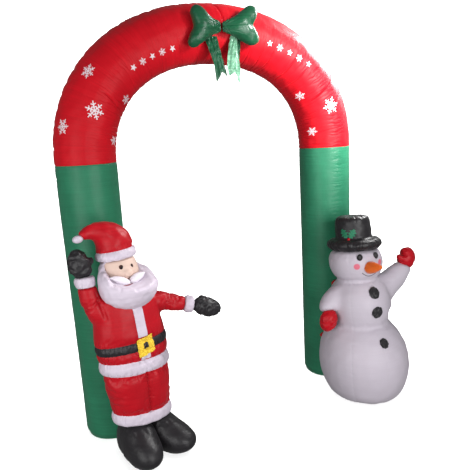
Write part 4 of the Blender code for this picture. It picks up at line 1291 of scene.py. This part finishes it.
class ARCH_OT_bearded_trim(bpy.types.Operator):
    """Lay the white strip, the foil buckle and the eyes on the bearded figure"""

    bl_idname = "arch.bearded_trim"
    bl_label = "Strip, buckle and eyes"

    def execute(self, context):
        cloth = {name: tree_of(bpy.data.objects[name + "_cloth"])
                 for name in ("jacket", "jacket_skirt", "belt")}

        def corner_aim(corners):
            """Flat unit square to a patch with these corners, clockwise from top left."""
            top_left, top_right, low_right, low_left = (np.array(c) for c in corners)

            def aim(x, y):
                u, v = (x + 0.5)[:, None], (y + 0.5)[:, None]
                low = low_left * (1 - u) + low_right * u
                top = top_left * (1 - u) + top_right * u
                spot = low * (1 - v) + top * v
                return BEARDED.front_aim(spot[:, 0], spot[:, 1])

            return aim

        lean, half = 0.052, 0.026
        strips = (
            ("front_strip_upper", ((-lean * 0.85 - half, 0.868), (-lean * 0.85 + half, 0.868),
                                   (-lean * 0.70 + half, 0.706), (-lean * 0.70 - half, 0.706)),
             ("jacket",), 36),
            ("front_strip_lower", ((-lean * 0.60 - half, 0.626), (-lean * 0.60 + half, 0.626),
                                   (-lean * 0.56 + half, 0.583), (-lean * 0.56 - half, 0.583)),
             ("jacket_skirt", "belt"), 12),
        )
        for name, corners, under, rows in strips:
            piece = laid(name + "_cloth", 1.0, 1.0, (12, rows), corner_aim(corners),
                         [cloth[n] for n in under], 0.0006, 0.0022, uneven=0.0012, seed=91)
            finish_piece(piece, finish_of("white_polyester"), "white_cloth", name)
        middle = -lean * 0.64
        buckle = laid(
            "buckle_foil", 1.0, 1.0, (30, 30), corner_aim((
                (middle - 0.040, 0.694), (middle + 0.046, 0.708),
                (middle + 0.064, 0.616), (middle - 0.036, 0.601))),
            list(cloth.values()), 0.0025, 0.0012, uneven=0.006, seed=92)
        finish_piece(buckle, finish_of("yellow_foil"), "yellow_foil", "buckle", angle=18.0)
        square = laid(
            "buckle_centre_cloth", 1.0, 1.0, (10, 10), corner_aim((
                (middle - 0.008, 0.671), (middle + 0.019, 0.672),
                (middle + 0.019, 0.644), (middle - 0.008, 0.643))),
            [tree_of(buckle)], 0.0008, 0.0012, uneven=0.001, seed=93)
        finish_piece(square, finish_of("black_polyester"), "black_cloth", "buckle_centre")
        face = [tree_of(bpy.data.objects[name + "_cloth"])
                for name in ("face", "beard", "moustache_left", "moustache_right")]
        mouth = laid(
            "mouth_print", 0.056, 0.022, (110, 44), mouth_aim, face, 0.0004, 0.0005,
            outline=mouth_outline)
        finish_piece(mouth, finish_of("dark_red_ink"), "red_cloth")
        for side in ("left", "right"):
            add_bead(f"bearded_eye_{side}", "brown_eye_polyester", "black_cloth", 0.002)
        return {"FINISHED"}


def mouth_aim(x, y):
    """Lays the mouth under the moustache, square to its slope, from the figure's right front."""
    middle = np.array((-0.081, -0.107, 0.989))
    ahead = np.array((0.464, 0.840, -0.2825))
    across = np.array((0.875, -0.484, 0.0))
    up = np.cross(across, ahead)
    starts = middle + x[:, None] * across + (y + 0.16 * x)[:, None] * up - 0.5 * ahead
    return starts @ BEARDED.turn.T + BEARDED.place, np.tile(BEARDED.turn @ ahead, (len(x), 1))


def mouth_outline(x, y):
    """A small smile, fullest at its middle."""
    reach, sag, full = 0.025, 0.004, 0.0024
    near = np.clip(x, -reach, reach)
    curve = sag * ((near / reach) ** 2 - 1.0)
    half = full * (1.05 - (near / reach) ** 2)
    return np.hypot(y - curve, x - near) - half


def add_bead(node, finish, slot, stand_out=0.0012):
    """A small filled bead of cloth, such as an eye, a little uneven where it is stitched on."""
    bead = subdivided(fused(node + "_cloth", 0.002, node, rounds=1))
    push(bead, stand_out + 0.0003 * ripple(read_points(bead), 0.009, 95))
    finish_piece(bead, finish_of(finish), slot, node, fill=0.7)


class ARCH_OT_snowman_body(bpy.types.Operator):
    """Fill the snowman as one smooth white form, and its mittens"""

    bl_idname = "arch.snowman_body"
    bl_label = "Snowman's body and mittens"

    def execute(self, context):
        cell = context.scene.arch_cloth.cell
        nodes = ("snowman_belly", "snowman_chest", "snowman_head", "snowman_arm_left",
                 "snowman_arm_right")
        cell *= SNOWMAN_CELL
        body = fused("snowman_cloth", cell, *nodes, rounds=7)
        shape_arm(body)
        straight = SNOWMAN.straight(read_points(body))
        height = straight[:, 2]
        held = (height < 0.010) | (height > BRIM - 0.012)
        for level in (WAIST, NECK):
            held |= np.abs(height - level) < 0.6 * cell
        sew_down(body, held & ((np.abs(straight[:, 0]) < 0.2) | (height < 0.6)))
        mittens = []
        for side in ("left", "right"):
            node = f"snowman_mitten_{side}"
            mitten = fused(node + "_cloth", 0.0055, node, rounds=3)
            mittens.append((mitten, node))
        filled_with_air([body, *(m for m, _ in mittens)], cap=0.007, grow=0.03)
        subdivided(body)
        straight = SNOWMAN.straight(read_points(body))
        height = straight[:, 2]
        angle, girth = turn_and_girth(straight)
        relief = 0.0010 * ripple(straight, 0.10, 101)
        trunk = np.where(height > 0.5, smoothstep(0.215, 0.185, girth), 1.0)
        for number, level in enumerate((WAIST, NECK)):
            relief += trunk * groove(height - level, 0.010, 0.0012)
            relief += trunk * creases(angle * 0.14, height - level, 0.028, 0.0050, 0.0012, 0.032,
                                      102 + number)
        gore = (angle / (math.pi / 4) + 0.5) % 1.0 - 0.5
        beside = gore * (math.pi / 4) * np.maximum(girth, 0.02)
        relief += trunk * groove(beside, 0.0028, 0.0012)
        relief += trunk * creases(height, beside, 0.021, 0.0040, 0.0011, 0.022, 104)
        push(body, np.where(height < 0.006, 0.0, relief))
        points = read_points(body)
        points[:, 2] = np.maximum(points[:, 2], 0.0)
        write_points(body, points)
        finish_piece(body, finish_of("white_cheeked_polyester"), "white_cloth", *nodes, fill=0.95)
        for number, (mitten, node) in enumerate(mittens):
            subdivided(mitten)
            if node == "snowman_mitten_right":
                shape_thumb(mitten)
            points = read_points(mitten)
            push(mitten, 0.0016 - 0.0040 * np.abs(ripple(points, 0.045, 110 + number)))
            finish_piece(mitten, finish_of("red_polyester"), "red_cloth", node, fill=0.8)
        return {"FINISHED"}


def shape_arm(body):
    """Fills the raised arm out below, from the armpit to the cuff."""
    straight = SNOWMAN.straight(read_points(body))
    across, up = straight[:, 0] - 0.19, straight[:, 2] - 0.685
    below = (0.62 * across - 0.785 * up) / 0.065
    along = smoothstep(0.11, 0.20, straight[:, 0]) * (
        1.0 - 0.75 * smoothstep(0.27, 0.36, straight[:, 0]))
    fill = 0.034 * along * smoothstep(-0.3, 1.0, below) * (straight[:, 2] > 0.5)
    fill *= 1.0 - smoothstep(0.10, 0.14, -up)
    straight[:, 0] += 0.62 * fill
    straight[:, 2] -= 0.785 * fill
    write_points(body, SNOWMAN.stand(straight))
    smoothed(body, 3)


def shape_thumb(mitten):
    """Draws the raised mitten in between its thumb and its fingers."""
    straight = SNOWMAN.straight(read_points(mitten))
    across, up = straight[:, 0] - 0.318, straight[:, 2] - 0.880
    beside = 0.75 * across + 0.66 * up
    along = 0.66 * across - 0.75 * up
    push(mitten, groove(beside, 0.011, 0.015) * (1.0 - smoothstep(0.0, 0.045, along)))


class ARCH_OT_snowman_hat(bpy.types.Operator):
    """Fill the snowman's hat, carrot nose and eyes"""

    bl_idname = "arch.snowman_hat"
    bl_label = "Snowman's hat, nose and eyes"

    def execute(self, context):
        hat = fused("snowman_hat_cloth", 0.008, "snowman_hat_brim", "snowman_hat_crown",
                    rounds=4)
        nose = fused("carrot_nose_cloth", 0.0055, "carrot_nose", rounds=2)
        straight = SNOWMAN.straight(read_points(hat))
        _, girth = turn_and_girth(straight)
        height = straight[:, 2]
        sew_down(hat, (height < BRIM + 0.006) & (girth < 0.13))
        filled_with_air([hat, nose], cap=0.006, grow=0.05)
        for piece in (hat, nose):
            subdivided(piece)
        straight = SNOWMAN.straight(read_points(hat))
        height = straight[:, 2]
        angle, girth = turn_and_girth(straight)
        top = smoothstep(1.10, 1.135, height)
        relief = 0.0014 * ripple(straight, 0.05, 121)
        relief += top * creases(angle * 0.1, girth - 0.08, 0.016, 0.0035, 0.0040, 0.030, 122)
        brim = (height < BRIM_TOP) & (girth > 0.11)
        relief += np.where(brim, creases(
            angle * 0.16, girth - 0.17, 0.030, 0.0060, 0.0050, 0.040, 123), 0.0)
        relief += groove(np.hypot(girth - 0.107, height - BRIM_TOP + 0.002), 0.005, 0.0035)
        push(hat, relief)
        finish_piece(hat, finish_of("black_polyester"), "black_cloth", "snowman_hat_brim",
                     "snowman_hat_crown", fill=0.85)
        points = read_points(nose)
        push(nose, 0.0010 * ripple(points, 0.04, 124))
        finish_piece(nose, finish_of("orange_polyester"), "orange_cloth", "carrot_nose", fill=0.9)
        for side in ("left", "right"):
            add_bead(f"snowman_eye_{side}", "black_polyester", "black_cloth")
        return {"FINISHED"}


class ARCH_OT_snowman_trim(bpy.types.Operator):
    """Lay the buttons, smile and holly on the snowman"""

    bl_idname = "arch.snowman_trim"
    bl_label = "Snowman's buttons, smile and holly"

    def execute(self, context):
        body = [tree_of(bpy.data.objects["snowman_cloth"])]
        buttons = (
            ("top", -0.030, 0.708, 0.034, 0.031), ("middle", -0.026, 0.596, 0.035, 0.034),
            ("low", -0.010, 0.415, 0.027, 0.025),
        )
        for number, (name, x, z, half_width, half_height) in enumerate(buttons):
            piece = laid(
                f"button_{name}_cloth", 2.1 * half_width, 2.1 * half_height, (30, 30),
                lambda u, v, x=x, z=z: SNOWMAN.front_aim(u + x, v + z), body, 0.0006, 0.0040,
                outline=button_outline(half_width, half_height, 120 + number), uneven=0.0030,
                seed=130 + number)
            finish_piece(piece, finish_of("black_polyester"), "black_cloth", f"button_{name}")
        smile = laid(
            "snowman_smile_print", 0.12, 0.05, (140, 60),
            lambda u, v: SNOWMAN.front_aim(u - 0.047, v + 0.828 - 0.11 * u), body, 0.0003, 0.0005,
            outline=smile_outline)
        finish_piece(smile, finish_of("black_ink"), "black_cloth")
        hat = bpy.data.objects["snowman_hat_cloth"]
        add_holly(hat)
        for name in ("upper", "lower"):
            link = fused(f"link_{name}_cloth", 0.006, f"link_{name}", rounds=2)
            finish_piece(subdivided(link), finish_of("red_polyester"), "red_cloth",
                         f"link_{name}", fill=0.8)
        return {"FINISHED"}


def smile_outline(x, y):
    """A thin bow of a smile with round ends."""
    reach, sag, thin = 0.046, 0.020, 0.0018
    near = np.clip(x, -reach, reach)
    curve = sag * ((near / reach) ** 2 - 1.0)
    slope = 2.0 * sag * near / reach ** 2
    return np.hypot((y - curve) / np.sqrt(1.0 + slope ** 2), x - near) - thin


def add_holly(hat):
    """Two holly leaves and a berry, sewn to the side of the hat."""
    ground = [tree_of(hat)]
    low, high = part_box("snowman_hat_crown")
    middle = np.array((low + high) / 2)
    around, height, radius = math.radians(-44.0), 1.036, 0.107
    turned = SNOWMAN.turn

    def aim_for(aside, spin):
        c, s = math.cos(spin), math.sin(spin)

        def aim(x, y):
            across, up = x * c + (y + 0.028) * s + aside, (y + 0.028) * c - x * s
            angle = around + across / radius
            out = np.stack([np.sin(angle), -np.cos(angle), np.zeros(len(x))], 1) @ turned.T
            starts = np.stack([np.full(len(x), middle[0]), np.full(len(x), middle[1]),
                               height + up], 1) + out * 0.3
            return starts, -out

        return aim

    def leaf(x, y):
        length, half = 0.060, 0.024
        t = np.clip((y + length / 2) / length, 0.001, 0.999)
        prickles = 0.74 + 0.26 * np.cos(t * 7.0 * math.pi + math.pi)
        edge = half * prickles * np.sin(math.pi * t) ** 0.5
        return np.maximum(np.abs(x) - edge, np.abs(y) - length / 2) * 0.7

    for side, aside, spin in (("right", 0.005, 0.50), ("left", -0.012, -0.62)):
        piece = laid(f"holly_leaf_{side}_cloth", 0.050, 0.062, (48, 60), aim_for(aside, spin),
                     ground, 0.0005, 0.0018, outline=leaf, uneven=0.0010, seed=141)
        finish_piece(piece, finish_of("green_polyester"), "green_cloth", f"holly_leaf_{side}")
    add_bead("holly_berry", "red_polyester", "red_cloth")


class ARCH_OT_stage(bpy.types.Operator):
    """Set up the pale floor, the soft studio light and the camera"""

    bl_idname = "arch.stage"
    bl_label = "Stage, light and camera"

    def execute(self, context):
        scene = context.scene
        deselect_all()
        bpy.ops.mesh.primitive_grid_add(x_subdivisions=4, y_subdivisions=120, size=1.0)
        floor = context.object
        floor.name = "studio_floor"
        flat = read_points(floor)
        along = (flat[:, 1] + 0.5) * (SWEEP_FLOOR + SWEEP_BEND * math.pi / 2 + SWEEP_WALL)
        bend = np.clip((along - SWEEP_FLOOR) / SWEEP_BEND, 0.0, math.pi / 2)
        rest = along - SWEEP_FLOOR - SWEEP_BEND * bend
        write_points(floor, np.stack([
            flat[:, 0] * SWEEP_WIDTH + SWEEP_MIDDLE,
            SWEEP_FRONT + np.minimum(along, SWEEP_FLOOR) + SWEEP_BEND * np.sin(bend),
            SWEEP_BEND * (1.0 - np.cos(bend)) + np.maximum(rest, 0.0)], 1))
        bpy.ops.object.shade_smooth()
        material, tree = new_material("pale_matt_paper")
        place = add_node(tree, "ShaderNodeTexCoord").outputs["Object"]
        tooth = add_node(tree, "ShaderNodeTexNoise", {"Vector": place, "Scale": 2.0})
        rough = add_node(tree, "ShaderNodeMapRange", {
            "Value": tooth.outputs["Fac"], "To Min": 0.8, "To Max": 0.95})
        shader = add_node(tree, "ShaderNodeBsdfPrincipled", {
            "Base Color": (0.93, 0.93, 0.93, 1.0), "Roughness": rough.outputs["Result"],
            "Specular IOR Level": 0.1})
        add_node(tree, "ShaderNodeOutputMaterial", {"Surface": shader.outputs["BSDF"]})
        floor.data.materials.append(material)
        # Black flags stand between the paper and the arch, so no light bounces back to it.
        floor.visible_diffuse = False
        floor.visible_glossy = False

        paper = bpy.data.collections.new("paper_only")
        no_paper = bpy.data.collections.new("all_but_paper")
        for group in (paper, no_paper):
            group.objects.link(floor)
        no_paper.collection_objects[0].light_linking.link_state = "EXCLUDE"
        for name, spot, target, size, power, spread, reach in LIGHTS:
            bpy.ops.object.light_add(type="AREA", location=spot)
            light = context.object
            light.name = name
            light.data.size = size
            light.data.energy = power
            light.data.spread = math.radians(spread)
            light.visible_camera = False
            light.rotation_euler = (
                Vector(target) - Vector(spot)).to_track_quat("-Z", "Y").to_euler()
            linking = light.light_linking
            linking.receiver_collection = paper if "paper" in reach else no_paper
            if "no shadow" in reach:
                linking.blocker_collection = paper
        for name, spot, target, power, cone, radius in SNOOTS:
            bpy.ops.object.light_add(type="SPOT", location=spot)
            snoot = context.object
            snoot.name = name
            snoot.data.energy = power
            snoot.data.spot_size = math.radians(cone)
            snoot.data.spot_blend = 1.0
            snoot.data.shadow_soft_size = radius
            snoot.visible_camera = False
            snoot.light_linking.receiver_collection = no_paper
            snoot.rotation_euler = (
                Vector(target) - Vector(spot)).to_track_quat("-Z", "Y").to_euler()
        world = bpy.data.worlds.new("studio")
        world.use_nodes = True
        world.node_tree.nodes["Background"].inputs["Color"].default_value = (1.0, 1.0, 1.0, 1.0)
        world.node_tree.nodes["Background"].inputs["Strength"].default_value = WORLD_LIGHT
        scene.world = world
        scene.view_settings.view_transform = "Standard"

        bpy.ops.object.camera_add(location=CAMERA_PLACE)
        camera = context.object
        camera.name = "photo_camera"
        camera.data.sensor_width = 36.0
        camera.data.lens = CAMERA_LENS
        camera.data.clip_end = 60.0
        yaw, pitch, roll = CAMERA_YAW, CAMERA_PITCH, CAMERA_ROLL
        ahead = Vector((math.sin(yaw) * math.cos(pitch), math.cos(yaw) * math.cos(pitch),
                        math.sin(pitch)))
        level = Vector((math.cos(yaw), -math.sin(yaw), 0.0))
        upright = level.cross(ahead)
        right = math.cos(roll) * level + math.sin(roll) * upright
        up = math.cos(roll) * upright - math.sin(roll) * level
        camera.rotation_mode = "QUATERNION"
        camera.rotation_quaternion = Matrix((right, up, -ahead)).transposed().to_quaternion()
        scene.camera = camera
        return {"FINISHED"}


# Soft boxes: name, place, what it is aimed at, side, power in watts, spread in degrees, and
# what flags leave it: the arch, the paper sweep, or the sweep with no shadow on it.
LIGHTS = (
    ("front", (0.4, -3.2, 1.25), (0.0, 0.0, 1.2), 1.8, 78.0, 180.0, "arch"),
    ("left_fill", (-3.2, -2.2, 1.2), (0.0, 0.0, 1.2), 2.4, 76.0, 180.0, "arch"),
    ("floor_wash", (1.6, 2.0, 5.0), (1.6, 2.0, 0.0), 6.0, 260.0, 180.0, "paper"),
    ("floor_fill", (0.5, -1.0, 4.0), (0.5, 0.5, 0.0), 5.0, 330.0, 180.0, "paper, no shadow"),
    ("wall_wash_left", (0.5, 1.4, 4.4), (0.5, 6.0, 2.2), 4.0, 330.0, 180.0, "paper"),
    ("wall_wash_right", (5.5, 1.4, 4.4), (5.5, 6.0, 2.2), 4.0, 360.0, 180.0, "paper"),
)
# Lamps in snoots, that brighten the right shoulder of the curve and nothing below it: name,
# place, what it is aimed at, power in watts, cone in degrees and radius.
SNOOTS = (
    ("snoot_front", (1.3, -2.6, 2.6), (0.68, 0.1, 2.10), 1700.0, 34.0, 0.45),
    ("snoot_rim", (2.2, 0.45, 2.95), (0.70, 0.05, 2.06), 1150.0, 46.0, 0.55),
)
WORLD_LIGHT = 0.17

# The paper sweep: front edge, flat length, bend radius, wall height, width and middle.
SWEEP_FRONT, SWEEP_FLOOR, SWEEP_BEND, SWEEP_WALL = -1.6, 5.0, 2.4, 5.0
SWEEP_WIDTH, SWEEP_MIDDLE = 20.0, 2.0

CAMERA_PLACE = (-1.18794, -2.51953, 1.68155)
CAMERA_LENS = 37.57
CAMERA_YAW, CAMERA_PITCH, CAMERA_ROLL = 0.4005781, -0.2052494, -0.0541381


class ARCH_PT_panel(bpy.types.Panel):
    """Lists the settings and the pieces of the inflatable arch"""

    bl_idname = "ARCH_PT_panel"
    bl_label = "Inflatable arch"
    bl_space_type = "VIEW_3D"
    bl_region_type = "UI"
    bl_category = "Arch"

    def draw(self, context):
        for group in (context.scene.arch_sizes, context.scene.arch_cloth,
                      context.scene.arch_colours):
            box = self.layout.box()
            for name in group.__annotations__:
                box.prop(group, name)
        for operator in OPERATORS:
            self.layout.operator(operator.bl_idname)


OPERATORS = (
    ARCH_OT_stage, ARCH_OT_tube, ARCH_OT_prints, ARCH_OT_bow, ARCH_OT_bearded_body,
    ARCH_OT_bearded_limbs, ARCH_OT_bearded_head, ARCH_OT_bearded_trim, ARCH_OT_snowman_body,
    ARCH_OT_snowman_hat, ARCH_OT_snowman_trim,
)
GROUPS = {
    "arch_colours": ARCH_PG_colours, "arch_sizes": ARCH_PG_sizes, "arch_cloth": ARCH_PG_cloth,
}


def register():
    for group in GROUPS.values():
        bpy.utils.register_class(group)
    for name, group in GROUPS.items():
        setattr(bpy.types.Scene, name, bpy.props.PointerProperty(type=group))
    for kind in (*OPERATORS, ARCH_PT_panel):
        bpy.utils.register_class(kind)


def unregister():
    for kind in (ARCH_PT_panel, *reversed(OPERATORS)):
        bpy.utils.unregister_class(kind)
    for name, group in GROUPS.items():
        delattr(bpy.types.Scene, name)
        bpy.utils.unregister_class(group)


def main():
    register()
    for operator in OPERATORS:
        category, name = operator.bl_idname.split(".")
        getattr(getattr(bpy.ops, category), name)()


if __name__ == "__main__":
    main()
